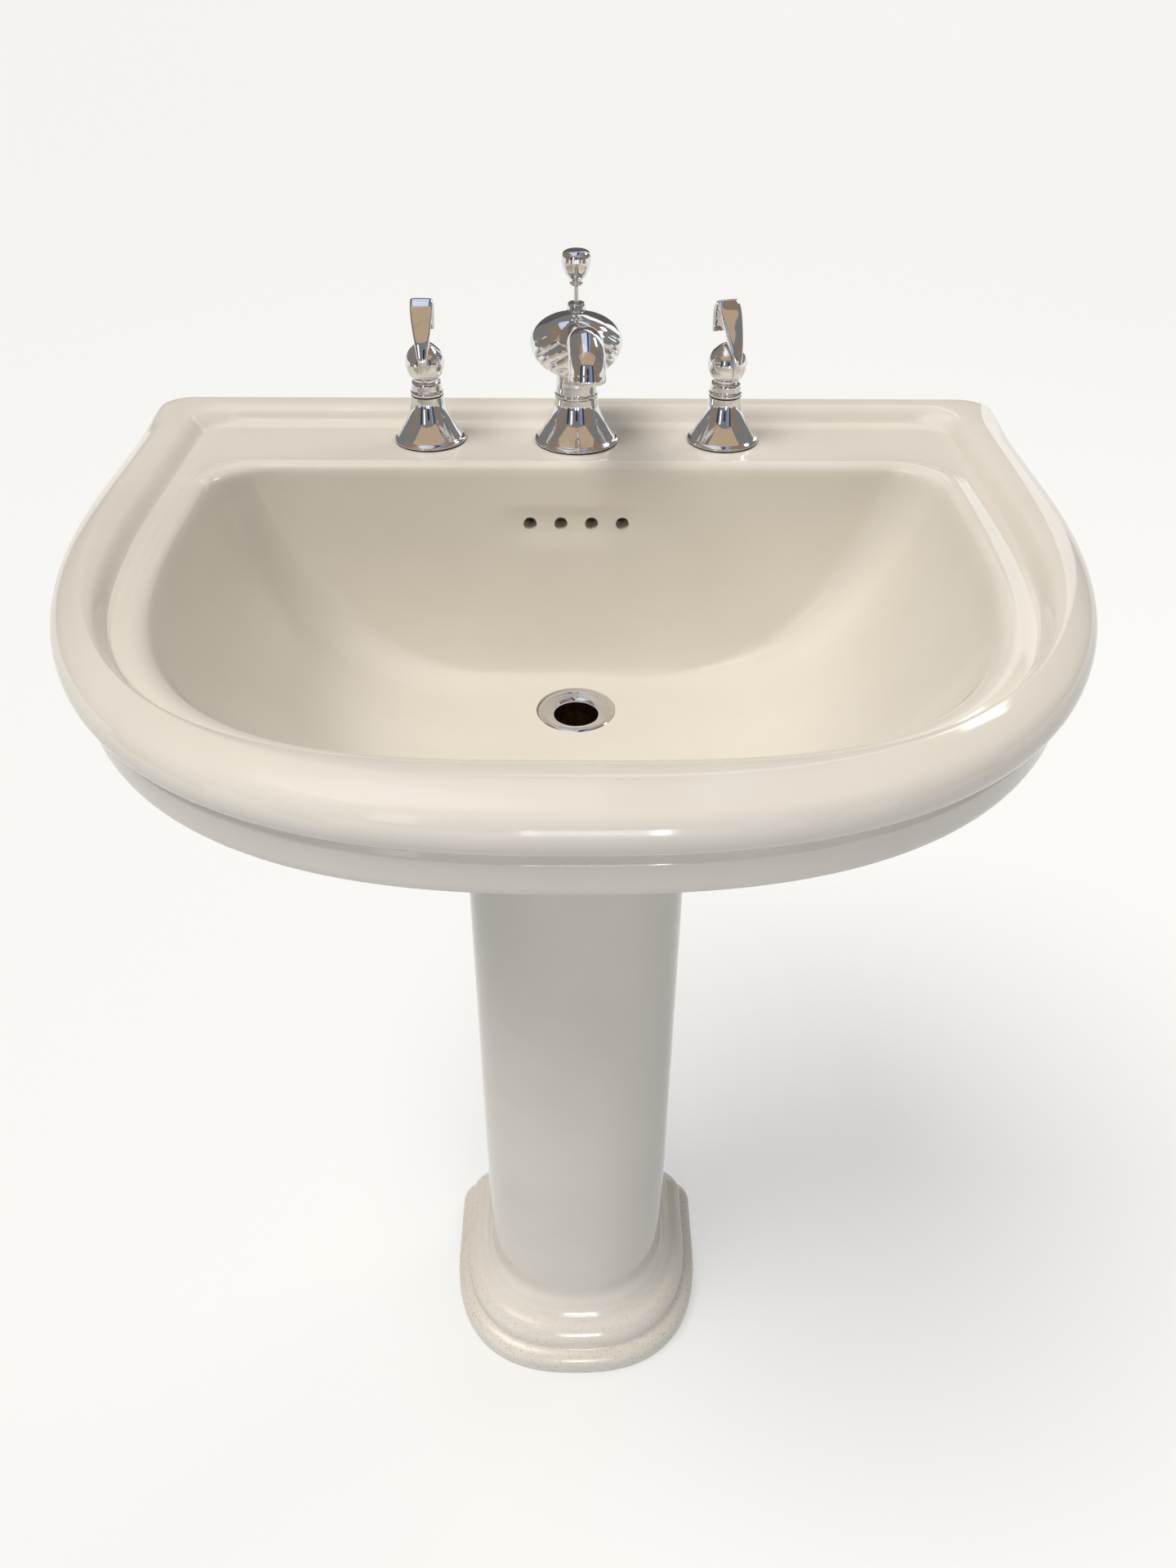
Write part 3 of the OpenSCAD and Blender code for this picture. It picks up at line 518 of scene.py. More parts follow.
def makeBasin():
    look = basinLook
    roll, ledge, rise = look["rollWidth"], look["ledgeWidth"], rollRise
    apron, flange, thick = look["apron"], look["wallFlange"], look["flangeThick"]
    bowl, front = halfWidth - look["bowlInset"], basinDepth - 49
    level, square = deckZ, look["bowlSquare"]
    groups = [
        [[93, 112, 262, 170, 30, 2.4, seatZ, seatZ],
         [99, 108, 268, 170, 32, 2.4, seatZ + 5, seatZ + 5]]
        + [bowlSize(i / 10, look["wall"]) for i in range(7, 0, -1)]
        + [[bowl + 17, look["bowlBack"] - 16, front + 5, 150, 36, square, level - 14, level - 14]],
        [[bowl + 17, look["bowlBack"] - 16, front + 5, 150, 36, square, level - 14, level - 14],
         rimSize(26, thick + 6, -14, -14)],
        [rimSize(26, thick + 6, -14, -14), rimSize(22.5, thick + 1.6, -15.6, -15.6),
         rimSize(21, thick, -20, -20), rimSize(21, thick, -apron + 8, -flange + 8)],
        [rimSize(21, thick, -apron + 8, -flange + 8),
         rimSize(20.6, thick - 0.4, -apron + 2, -flange + 2),
         rimSize(18, thick - 4, -apron, -flange), rimSize(13, 3, -apron, -flange),
         rimSize(10, 0.2, -apron + 2, -flange + 1.5), rimSize(9, 0, -apron + 6, -flange + 6)],
        [rimSize(9, 0, -apron + 6, -flange + 6), rimSize(8.3, 0, -apron + 18, -apron - 18),
         rimSize(9.0, 0, -28, -30), rimSize(10.5, 0, -25, -26)],
        [rimSize(10.5, 0, -25, -26), rimSize(9.4, 0, -23.2, -24), rimSize(6.5, 0, -22, -22.6),
         rimSize(2.6, 0, -19.4, -19.4), rimSize(0.5, 0, -15, -15), rimSize(0, 0, -11, -11),
         rimSize(0.9, 0.2, -4.6, -2.6), rimSize(4.6, 1.2, rise * 0.2, rise * 0.62),
         rimSize(11, 4.2, rise * 0.66, rise * 0.95), rimSize(roll * 0.42, ledge * 0.36, rise, rise),
         rimSize(roll * 0.62, ledge * 0.62, rise * 0.97, rise * 0.97),
         rimSize(roll * 0.76, ledge * 0.76, rise * 0.82, rise * 0.84),
         rimSize(roll * 0.86, ledge * 0.86, rise * 0.50, rise * 0.52),
         rimSize(roll * 0.94, ledge * 0.94, rise * 0.14, rise * 0.15),
         rimSize(roll * 0.98, ledge * 0.99, 0.1, 0.1)],
        [rimSize(roll * 0.98, ledge * 0.99, 0.1, 0.1),
         [bowl + 16, look["bowlBack"] - 12, front + 14, 148, 38, square, level, level],
         [bowl + 13.4, look["bowlBack"] - 10, front + 11.6, 148, 38, square,
          level + 0.7, level + 0.4],
         [bowl + 10, look["bowlBack"] - 8, front + 9, 149, 37, square, level + 1.6, level + 0.9],
         [bowl + 5, look["bowlBack"] - 4, front + 4.5, 150, 35, square, level + 1.1, level + 0.5],
         [bowl + 1.6, look["bowlBack"] - 1.4, front + 1.6, 150, 34, square,
          level - 0.6, level - 0.8],
         bowlSize(0.0, 0), bowlSize(0.03, 0), bowlSize(0.06, 0)],
    ]
    rings = stations(groups, 4.0)
    rings += [planRing(bowlSize(0.06 + 0.94 * (i / 56) ** 1.1, 0)) for i in range(1, 57)]
    points, faces = joinRings(rings)
    # shallow scoop round the overflow holes
    scoopZ = deckZ - look["overflowDrop"]
    half = 1.5 * look["overflowPitch"] + 12
    shaped = []
    for x, y, z in points:
        nearScoop = abs(z - scoopZ) < 26 and abs(x) < half + 16
        if wallY - 150 < y < wallY - 100 and nearScoop and z < deckZ - 4:
            back = wallY - bowlBackAt(z)
            if abs(y - back) < 1.5:
                across = 1 - smooth((abs(x) - half + 6) / 12)
                pull = across * (1 - smooth((abs(z - scoopZ) - 5) / 9))
                y += look["recess"] * pull
        shaped.append((x, y, z))
    mesh = bpy.data.meshes.new("basinForm")
    mesh.from_pydata([(p[0] * mm, p[1] * mm, p[2] * mm) for p in shaped], [], faces)
    tidyMesh(mesh)
    piece = bpy.data.objects.new("basin", mesh)
    scene.collection.objects.link(piece)
    # box of the overflow passage behind the bowl
    pitch = look["overflowPitch"]
    boxHalf = (3 * pitch + 2 * look["overflowRadius"] + 12) / 2
    back = look["bowlBack"] - 23
    carve(piece, closedTool(*block((-boxHalf, wallY - look["bowlBack"] + 4, deckZ - 110),
                                   (boxHalf, wallY - back, deckZ - 12))), "UNION")
    carve(piece, closedTool(*block((-boxHalf, wallY - look["bowlBack"] - 10, seatZ + 0.2),
                                   (boxHalf, wallY - back, deckZ - 105))), "UNION")
    tools = [block((-boxHalf + 6, wallY - back - 12, seatZ + 5),
                   (boxHalf - 6, wallY - back - 6, deckZ - 22))]
    for x in (-valveX, 0, valveX):
        tools.append(drum((x, holeY, deckZ - 40), (0, 0, 1), 17.5, 60))
    tools.append(drum((0, drainY, seatZ - 5), (0, 0, 1), 22.5, 40))
    for x in (-140, 140):
        tools.append(drum((x, wallY + 5, deckZ - 72), (0, -1, 0), 6.5, 60))
    for tool in tools:
        carve(piece, closedTool(*tool))
    carve(piece, closedTool(*drum((0, drainY, outletZ - 1.5), (0, 0, 1), 27.5, 12, 96)))
    z = deckZ - look["overflowDrop"]
    for i in (-1.5, -0.5, 0.5, 1.5):
        face = wallY - bowlBackAt(z) + look["recess"]
        carve(piece, closedTool(*drum((i * pitch, face - 2.4, z), (0, 1, 0),
                                      look["overflowRadius"], 18, 40, 1.6)))
    return piece


def bowlBackAt(z):
    look = basinLook
    share = min(max((deckZ - 2.5 - z) / (look["bowlDepth"] - 3.5), 0.0), 1.0)
    s = 1 - (1 - share) ** (1 / look["bowlSteep"])
    return mix(look["bowlBack"], wallY - drainY - 34, s ** 0.8)


basinForm = makeBasin()
basin = dressPiece("basinChina", basinForm.data.copy(), "china", crease=32.0)
bpy.data.objects.remove(basinForm)
settle(basin, "china", "sink", "basin_rim", "basin_apron", "basin_bowl")


# pedestal
pedestalLook = {
    "footWidth": 246.0, "footDepth": 206.0, "footBack": 80.0,
    "lowWidth": 170.0, "topWidth": 166.0, "topFront": 250.0,
    "wall": 14.0, "slot": 104.0, "boltGap": 70.0, "columnFoot": 78.0,
}


def footSize(i, z):
    look = pedestalLook
    back, deep = look["footBack"], look["footDepth"]
    step = (look["footWidth"] - look["lowWidth"]) / 76
    return [look["footWidth"] / 2 - i * step, back + i * 0.35, back + deep - i * 0.95, back + 78,
            22, 2.5, z, z]


def columnSize(z, i):
    look = pedestalLook
    u = (z - look["columnFoot"]) / (seatZ - look["columnFoot"])
    back = look["footBack"] + 15
    return [mix(look["lowWidth"], look["topWidth"], u) / 2 - i, mix(back, back + 4, u) + i,
            mix(look["footBack"] + look["footDepth"] - 36, look["topFront"], u) - i, 168,
            24 - i * 0.8, 2.3, z, z]


def makePedestal():
    look = pedestalLook
    back = look["footBack"] + 15
    inner = look["wall"]

    def insideSize(i, z):
        return [look["footWidth"] / 2 - i, back + 12 - z * 0.05,
                look["footBack"] + look["footDepth"] - i, look["footBack"] + 78, 14, 2.4, z, z]
    groups = [
        [footSize(2, 0), footSize(0.6, 0.6), footSize(0, 2.4), footSize(0, 12), footSize(0.6, 16.5),
         footSize(3, 20.6), footSize(6.5, 23.4), footSize(10.2, 25)],
        [footSize(10.2, 25), footSize(11.4, 26.4), footSize(11.5, 28.4), footSize(11.4, 35),
         footSize(12.2, 40), footSize(14.6, 45), footSize(18.5, 49.4), footSize(22.8, 51.8)],
        [footSize(22.8, 51.8), footSize(25.4, 53.6), footSize(28.4, 56.6), footSize(32, 62),
         footSize(34.6, 69), columnSize(78, 0), columnSize(110, 0), columnSize(240, 0),
         columnSize(400, 0), columnSize(560, 0), columnSize(seatZ - 14, 0),
         columnSize(seatZ - 3, 0.5), columnSize(seatZ, 2.5)],
        [columnSize(seatZ, 2.5), columnSize(seatZ, inner)],
        [columnSize(seatZ, inner), columnSize(seatZ - 200, inner), columnSize(88, inner)],
        [columnSize(88, inner), insideSize(inner + 24, 40), insideSize(inner + 8, 22),
         insideSize(inner + 4, 0)],
    ]
    rings = stations(groups, 6.0)
    points, faces = joinRings(rings, True)
    mesh = bpy.data.meshes.new("pedestalForm")
    mesh.from_pydata([(p[0] * mm, p[1] * mm, p[2] * mm) for p in points], [], faces)
    tidyMesh(mesh)
    piece = bpy.data.objects.new("pedestal", mesh)
    scene.collection.objects.link(piece)
    web = look["footWidth"] / 2 - 13
    carve(piece, closedTool(*block((-web, wallY - look["footBack"] - 50, 0),
                                   (web, wallY - look["footBack"] - 10, 16))), "UNION")
    carve(piece, closedTool(*block((-look["slot"] / 2, wallY - 140, 64),
                                   (look["slot"] / 2, wallY - 40, seatZ + 64))))
    for x in (-look["boltGap"] / 2, look["boltGap"] / 2):
        carve(piece, closedTool(*drum((x, wallY - look["footBack"] - 38, -1), (0, 0, 1), 5, 20)))
    return piece


pedestalForm = makePedestal()
pedestal = dressPiece("pedestalChina", pedestalForm.data.copy(), "china", crease=32.0)
bpy.data.objects.remove(pedestalForm)
settle(pedestal, "china", "sink", "pedestal")
print("china done")


# trumpet bells, one rule for all three
bellLook = {"wall": 1.8, "bead": 1.0, "lip": 2.4, "flare": 1.85, "around": 128, "along": 160}


def startTree(name, sizes):
    tree = bpy.data.node_groups.new(name, "GeometryNodeTree")
    for label, kind in sizes:
        tree.interface.new_socket(label, in_out="INPUT", socket_type=kind)
    tree.interface.new_socket("Geometry", in_out="OUTPUT", socket_type="NodeSocketGeometry")
    group = tree.nodes.new("NodeGroupInput")
    return tree, {label: Wire(tree, group.outputs[label]) for label, kind in sizes}


def endTree(shape, finish):
    tree = shape.tree
    shape = shape.add("GeometryNodeRealizeInstances", {}, {0: shape})
    shape = shape.add("GeometryNodeSetMaterial", {}, {"Geometry": shape, "Material": finish})
    output = tree.nodes.new("NodeGroupOutput")
    tree.links.new(shape.socket, output.inputs[0])


def growMesh(name, tree, values):
    # one plain mesh from the tree, with its named inputs set by their identifiers
    holder = bpy.data.objects.new(name, bpy.data.meshes.new(name))
    scene.collection.objects.link(holder)
    change = holder.modifiers.new("grow", "NODES")
    change.node_group = tree
    for item in tree.interface.items_tree:
        if item.in_out == "INPUT" and item.name in values:
            change[item.identifier] = values[item.name]
    graph = bpy.context.evaluated_depsgraph_get()
    mesh = bpy.data.meshes.new_from_object(holder.evaluated_get(graph))
    holder.modifiers.clear()
    bpy.data.objects.remove(holder)
    return mesh


def bellTree():
    tree, sizes = startTree("trumpetBell", [
        ("Foot radius", "NodeSocketFloat"), ("Neck radius", "NodeSocketFloat"),
        ("Height", "NodeSocketFloat"), ("Wall", "NodeSocketFloat"), ("Bead", "NodeSocketFloat"),
        ("Lip height", "NodeSocketFloat"), ("Flare", "NodeSocketFloat"),
        ("Around", "NodeSocketInt"), ("Along", "NodeSocketInt")])
    foot, neck, height = sizes["Foot radius"], sizes["Neck radius"], sizes["Height"]
    sheet = addNode(tree, "GeometryNodeMeshGrid", {},
                    {"Size X": 1.0, "Size Y": 1.0, "Vertices X": sizes["Around"],
                     "Vertices Y": sizes["Along"]})
    spot = addNode(tree, "GeometryNodeInputPosition")
    x = addNode(tree, "ShaderNodeSeparateXYZ", {}, {0: spot}, 0)
    y = addNode(tree, "ShaderNodeSeparateXYZ", {}, {0: spot}, 1)
    angle = (x + 0.5) * (2 * math.pi)
    turn = (y + 0.5) * (2 * math.pi)
    rise = 0.5 - turn.calc("COSINE", turn) * 0.5
    wave = turn.calc("SINE", turn) * 14.0
    inside = 0.5 - wave.calc("MAXIMUM", wave.calc("MINIMUM", wave, 1.0), -1.0) * 0.5
    z = rise * height
    curve = foot - sizes["Bead"] - neck
    spread = neck + curve * (1.0 - rise) ** sizes["Flare"]
    above = (z / sizes["Lip height"] - 0.5) * 2.0
    round_ = above.calc("MAXIMUM", 1.0 - above * above, 0.0)
    bead = round_.calc("SQRT", round_) * sizes["Bead"]
    radius = spread + bead * (1.0 - inside) - sizes["Wall"] * inside
    place = addNode(tree, "ShaderNodeCombineXYZ", {},
                    {0: radius * angle.calc("COSINE", angle),
                     1: radius * angle.calc("SINE", angle), 2: z})
    shape = addNode(tree, "GeometryNodeSetPosition", {}, {"Geometry": sheet, "Position": place})
    shape = shape.add("GeometryNodeMergeByDistance", {}, {"Geometry": shape, "Distance": 0.000004})
    endTree(shape, finishes["chrome"])
    return tree


def makeBell(name, node, neck, tree):
    low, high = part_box(node)
    look = bellLook
    mesh = growMesh(name, tree, {
        "Foot radius": (high.x - low.x) / 2, "Neck radius": neck * mm, "Height": high.z - low.z,
        "Wall": look["wall"] * mm, "Bead": look["bead"] * mm, "Lip height": look["lip"] * mm,
        "Flare": look["flare"], "Around": look["around"], "Along": look["along"]})
    mesh.transform(Matrix.Translation(((low.x + high.x) / 2, (low.y + high.y) / 2, low.z)))
    piece = dressPiece(name, mesh, "chrome", crease=50.0)
    settle(piece, "chrome", "sink", node)


trumpet = bellTree()
makeBell("bellHot", "bell_hot", 11.0, trumpet)
makeBell("bellCold", "bell_cold", 11.0, trumpet)
makeBell("bellSpout", "bell_spout", 14.5, trumpet)


# lever handles
handleLook = {
    "collar": 11.0,
    "skirt": 31.6,            # start of the collar above the deck
    "bulb": 13.2,
    "bulbHeight": 52.5,
    "restTurn": {"handle_hot": 0.0, "handle_cold": 22.0},
    # side view of the lever: towards the back, up
    "front": [(-8.5, 42), (-12.6, 49), (-12.4, 57), (-9.6, 66), (-5.2, 76), (-0.8, 84.5), (1.9, 88.6),
              (5.2, 91.1), (8.6, 89.8), (10.5, 86), (11.0, 80), (11.5, 75), (12.0, 71.2)],
    "half": [1.6, 2.6, 3.2, 4.7, 6.3, 7.3, 7.4, 7.4, 7.4, 7.4, 7.2, 6.9, 6.4],
    "thick": [0.9, 2.0, 3.0, 3.2, 2.4, 1.8, 1.5, 1.4, 1.4, 1.4, 1.3, 1.2, 0.9],
}


def makeHandle(name, node, body, side):
    look = handleLook
    c, s, b, h = look["collar"], look["skirt"], look["bulb"], look["bulbHeight"]
    rows = [(8.9, s + 2.6), (8.9, s), (c - 0.5, s), (c, s + 0.5), (c + 0.4, s + 1.5), (c, s + 2.6),
            (c - 0.5, s + 3.2), (c - 0.8, s + 7.6), (c - 1.4, s + 9.0), (c - 2.3, s + 9.8)]
    bulb = [(b * math.cos(math.radians(a)), h + 13.4 * math.sin(math.radians(a)))
            for a in (-46, -34, -20, -6, 8, 22, 36)]
    crown = [(b * 0.66, h + 9.9), (b * 0.47, h + 12.0), (b * 0.30, h + 13.2), (b * 0.12, h + 13.9),
             (0, h + 14.0)]
    core = lathe([(0, s + 2.6)] + rows + bulb + crown, (0, 0, 0), 96, 0.5, (1, 2, 10))
    line = curvePoints([p + (w, t)
                        for p, w, t in zip(look["front"], look["half"], look["thick"])], 0.9)

    def section(i, point, across, normal):
        w, t = line[i][2], line[i][3]
        ring = []
        for k in range(28):
            a = 2 * math.pi * k / 28
            ca, sa = math.cos(a), math.sin(a)
            u = abs(ca) ** 0.45 * (1 if ca > 0 else -1)
            v = abs(sa) ** 0.62 * (1 if sa > 0 else -1)
            ring.append(point + across * w * u + normal * t * v)
        return ring
    strip = sweep([p[:2] for p in line], section)
    points, faces = merge(core, strip)
    centre = (side * valveX, holeY, deckZ)
    piece = addPiece(name, turned(points, centre, look["restTurn"][node]), faces, "chrome",
                     crease=38.0)
    settle(piece, "chrome", body, node)


makeHandle("leverHot", "handle_hot", "hot_lever", -1)
makeHandle("leverCold", "handle_cold", "cold_lever", 1)


# spout
spoutLook = {
    "neck": 14.5, "start": 31.0, "dome": 30.75, "equator": 66.8, "below": 22.5, "above": 18.5,
    "bossBack": 10.0, "nose": 11.3, "reach": 88.0, "rise": 15.0, "bend": 14.0,
    "noseStart": 67.0, "turn": 4.5, "flutes": 3,
}


def makeSpout():
    look = spoutLook
    n, s, d, e = look["neck"], look["start"], look["dome"], look["equator"]
    below = [(d * math.cos(math.radians(a)), e + look["below"] * math.sin(math.radians(a)))
             for a in range(-64, 1, 8)]
    up = look["above"]
    above = [(d * 0.985, e + up * 0.18), (d * 0.93, e + up * 0.38), (d * 0.83, e + up * 0.58),
             (d * 0.69, e + up * 0.75), (d * 0.52, e + up * 0.88), (d * 0.34, e + up * 0.97),
             (d * 0.2, e + up * 1.02)]
    rows = [(8.0, s), (n - 0.4, s), (n, s + 0.4), (n + 0.4, s + 1.3), (n, s + 2.3), (n - 0.5, s + 2.9),
            (n - 0.7, s + 8), (n - 1.1, s + 12), (n - 1.0, s + 15.2)]
    core = lathe([(0, s)] + rows + below + above + [(0, e + up * 1.04)], (0, 0, 0), 160, 0.6, (2, 9))
    # crescent flutes that fan out from the root of the nose
    shaped = []
    for x, y, z in core[0]:
        r = math.hypot(x, y)
        if r > 14:
            a = math.degrees(math.atan2(x, -y)) - look["turn"]
            side = abs(a)
            fan = smooth((side - 12) / 14) * (1 - smooth((side - 52) / 22))
            fan *= 1 - smooth((z - e - 6) / 9)
            lift = (z - (e - 18)) / 22 + (side - 12) / 70
            wave = abs(math.sin(math.pi * look["flutes"] * lift / 1.3)) ** 0.7
            k = 1 - 0.075 * fan * (1 - wave)
            x, y = x * k, y * k
        shaped.append((x, y, z))
    core = (shaped, core[1])
    boss = lathe([(0, 72), (9.6, 72), (7.4, 80), (6.5, 84), (6.2, 86), (5.7, 88.4), (5.2, 89), (0, 89)],
                 (0, look["bossBack"], 0), 72, 0.5, (1, 6))
    rise = math.radians(look["rise"])
    run = look["reach"] - look["bend"] - look["bend"] * math.sin(rise)
    endZ = look["noseStart"] + run * math.tan(rise)
    path = [(-run * k / 30, look["noseStart"] + run * math.tan(rise) * k / 30) for k in range(31)]
    bendY = look["bend"] - look["reach"]
    bendZ = endZ - look["bend"] * math.cos(rise)
    for k in range(1, 31):
        t = (math.pi / 2 + rise) * k / 30 - rise
        path.append((bendY - look["bend"] * math.sin(t), bendZ + look["bend"] * math.cos(t)))
    path.append((-look["reach"], bendZ - 1.5))
    count = len(path)

    def section(i, point, across, normal):
        share = i / (count - 1)
        r = mix(look["nose"] + 2.2, look["nose"] - 0.1, smooth(share * 1.5))
        if i >= count - 3:
            r = look["nose"] + (0.35 if i < count - 1 else 0.05)
        turns = [2 * math.pi * k / 72 for k in range(72)]
        return [point + across * r * math.cos(a) + normal * r * math.sin(a) for a in turns]
    nose = sweep(path, section)
    nose = (turned(nose[0], (0, 0, 0), look["turn"]), nose[1])
    points, faces = merge(core, boss, nose)
    points = [(p[0], p[1] + holeY, p[2] + deckZ) for p in points]
    piece = addPiece("spoutBody", points, faces, "chrome", crease=42.0)
    settle(piece, "chrome", "sink", "spout_body")


makeSpout()


# lift knob
knobLook = {"radius": 9.6, "length": 22.0, "root": 3.7}


def makeKnob():
    r, h, root = knobLook["radius"], knobLook["length"], knobLook["root"]
    rows = [(0, 0), (root, 0), (root + 0.7, 0.7), (root + 0.8, 1.6), (root + 0.3, 2.5),
            (root + 0.9, 3.8), (r * 0.66, 5.6), (r * 0.82, 8.0), (r * 0.93, 10.8),
            (r * 0.99, 13.6), (r, 16.2), (r * 0.98, 18.4), (r * 0.89, 20.3),
            (r * 0.70, 21.4), (r * 0.42, 21.85), (r * 0.2, 21.97), (0, h)]
    points, faces = lathe(rows, (0, rodY, knobZ), 96, 0.5, (1,))
    piece = addPiece("liftKnob", points, faces, "chrome", crease=45.0)
    settle(piece, "chrome", "lift_train", "lift_knob")


makeKnob()


# drain flange
drainLook = {"flange": 27.0, "throat": 15.0, "tube": 17.5, "depth": 31.0}


def makeDrain():
    look = drainLook
    f, t, tube, deep = look["flange"], look["throat"], look["tube"], look["depth"]
    rows = [(t, -deep), (t, -3), (t + 0.4, -2.2), (t + 2.0, -1.1), (t + 4.4, -0.3), (t + 6.6, 0.3),
            (f - 4, 0.8), (f - 2, 0.62), (f - 0.7, 0.0), (f, -0.9), (f, -1.5), (tube + 1, -1.5),
            (tube, -2.2), (tube, -deep), (t, -deep)]
    points, faces = lathe(rows, (0, drainY, outletZ), 128, 0.6, (1, 9, 10, 11, 12, 13))
    faces = faces[:-2]
    piece = addPiece("drainFlange", points, faces, "chrome", crease=40.0)
    settle(piece, "chrome", "sink", "drain_flange")


makeDrain()


# threads and the aerator screen
threadLook = {"depth": 0.55, "pitch": 1.8}


def threadTree():
    tree, sizes = startTree("screwThread", [
        ("Radius", "NodeSocketFloat"), ("Pitch", "NodeSocketFloat"), ("Length", "NodeSocketFloat"),
        ("Depth", "NodeSocketFloat"), ("Finish", "NodeSocketMaterial")])
    turns = sizes["Length"] / sizes["Pitch"]
    spiral = addNode(tree, "GeometryNodeCurveSpiral", {},
                     {"Resolution": 40, "Rotations": turns, "Start Radius": sizes["Radius"],
                      "End Radius": sizes["Radius"], "Height": sizes["Length"]})
    ridge = addNode(tree, "GeometryNodeCurvePrimitiveCircle", {"mode": "RADIUS"},
                    {"Resolution": 6, "Radius": sizes["Depth"]})
    shape = addNode(tree, "GeometryNodeCurveToMesh", {},
                    {"Curve": spiral, "Profile Curve": ridge, "Fill Caps": True})
    endTree(shape, sizes["Finish"])
    return tree


def screenTree():
    tree, sizes = startTree("wireScreen", [
        ("Radius", "NodeSocketFloat"), ("Wire", "NodeSocketFloat"), ("Wires", "NodeSocketInt"),
        ("Finish", "NodeSocketMaterial")])
    net = addNode(tree, "GeometryNodeMeshGrid", {},
                  {"Size X": sizes["Radius"] * 2.0, "Size Y": sizes["Radius"] * 2.0,
                   "Vertices X": sizes["Wires"], "Vertices Y": sizes["Wires"]})
    spot = addNode(tree, "GeometryNodeInputPosition")
    far = addNode(tree, "ShaderNodeVectorMath", {"operation": "LENGTH"}, {0: spot}, 1)
    outside = far.calc("GREATER_THAN", far, sizes["Radius"])
    net = net.add("GeometryNodeDeleteGeometry", {"domain": "POINT"},
                  {"Geometry": net, "Selection": outside})
    wires = net.add("GeometryNodeMeshToCurve", {}, {0: net})
    round_ = addNode(tree, "GeometryNodeCurvePrimitiveCircle", {"mode": "RADIUS"},
                     {"Resolution": 5, "Radius": sizes["Wire"]})
    shape = addNode(tree, "GeometryNodeCurveToMesh", {},
                    {"Curve": wires, "Profile Curve": round_, "Fill Caps": True})
    endTree(shape, sizes["Finish"])
    return tree


thread = threadTree()


def makeThread(name, centre, radius, length, slot="brass"):
    mesh = growMesh(name, thread, {
        "Radius": radius * mm, "Pitch": threadLook["pitch"] * mm, "Length": length * mm,
        "Depth": threadLook["depth"] * mm, "Finish": finishes[slot]})
    mesh.transform(Matrix.Translation(Vector(centre) * mm))
    piece = dressPiece(name, mesh, slot, crease=60.0)
    settle(piece, slot, "sink")


for label, side in (("Hot", -1), ("Cold", 1)):
    makeThread("shankThread" + label, (side * valveX, holeY, deckZ - 45), 13.0, 17)
    makeThread("inletThread" + label, (side * valveX, holeY, deckZ - 103), 10.4, 26)
makeThread("spoutThread", (0, middle("spout_shank", 1), deckZ - 41), 7.5, 14)
makeThread("drainThread", (0, drainY, outletZ - 41.5), 20.4, 5)

screenMesh = growMesh("aeratorWires", screenTree(), {
    "Radius": 7.9 * mm, "Wire": 0.17 * mm, "Wires": 19, "Finish": finishes["steel"]})
low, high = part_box("aerator_screen")
screenPlace = Vector(((low.x + high.x) / 2, (low.y + high.y) / 2, low.z - 0.0001))
screenMesh.transform(Matrix.Translation(screenPlace))
screen = dressPiece("aeratorWires", screenMesh, "steel", crease=60.0)
settle(screen, "steel", "sink")
print("metal done")


# stage: floor, cards, lights and camera
stageLook = {
    "floor": (0.50, 0.50, 0.50),
    "world": (1.0, 0.985, 0.965), "worldPower": 0.22,
    "keyPower": 2.45, "keySoftness": 34.0, "keyHeight": 66.0, "keySide": -58.0,
    "backPower": 0.55, "floorGlow": 0.42,
    "camera": (1.5, -631.2, 1183.7), "pitch": 37.51, "yaw": 0.59, "roll": 0.41, "lens": 27.645,
}


def addCard(name, corners, colour, power):
    mesh = bpy.data.meshes.new(name)
    mesh.from_pydata(corners, [], [(0, 1, 2, 3)])
    card = bpy.data.objects.new(name, mesh)
    scene.collection.objects.link(card)
    paint = bpy.data.materials.new(name)
    paint.use_nodes = True
    tree = paint.node_tree
    tree.nodes.clear()
    glow = addNode(tree, "ShaderNodeEmission", {},
                   {"Color": tuple(colour) + (1.0,), "Strength": power})
    output = tree.nodes.new("ShaderNodeOutputMaterial")
    tree.links.new(glow.socket, output.inputs[0])
    mesh.materials.append(paint)
    card.visible_camera = False
    card.visible_diffuse = False
    card.visible_shadow = False
    return card


def wallCard(name, azimuth, width, z0, z1, far, colour, power):
    # upright card round the object; azimuth 0 is the front
    a = math.radians(azimuth)
    centre = Vector((math.sin(a) * far, -math.cos(a) * far, 0))
    across = Vector((math.cos(a), math.sin(a), 0)) * width / 2
    corners = [centre - across + Vector((0, 0, z0)), centre + across + Vector((0, 0, z0)),
               centre + across + Vector((0, 0, z1)), centre - across + Vector((0, 0, z1))]
    return addCard(name, corners, colour, power)


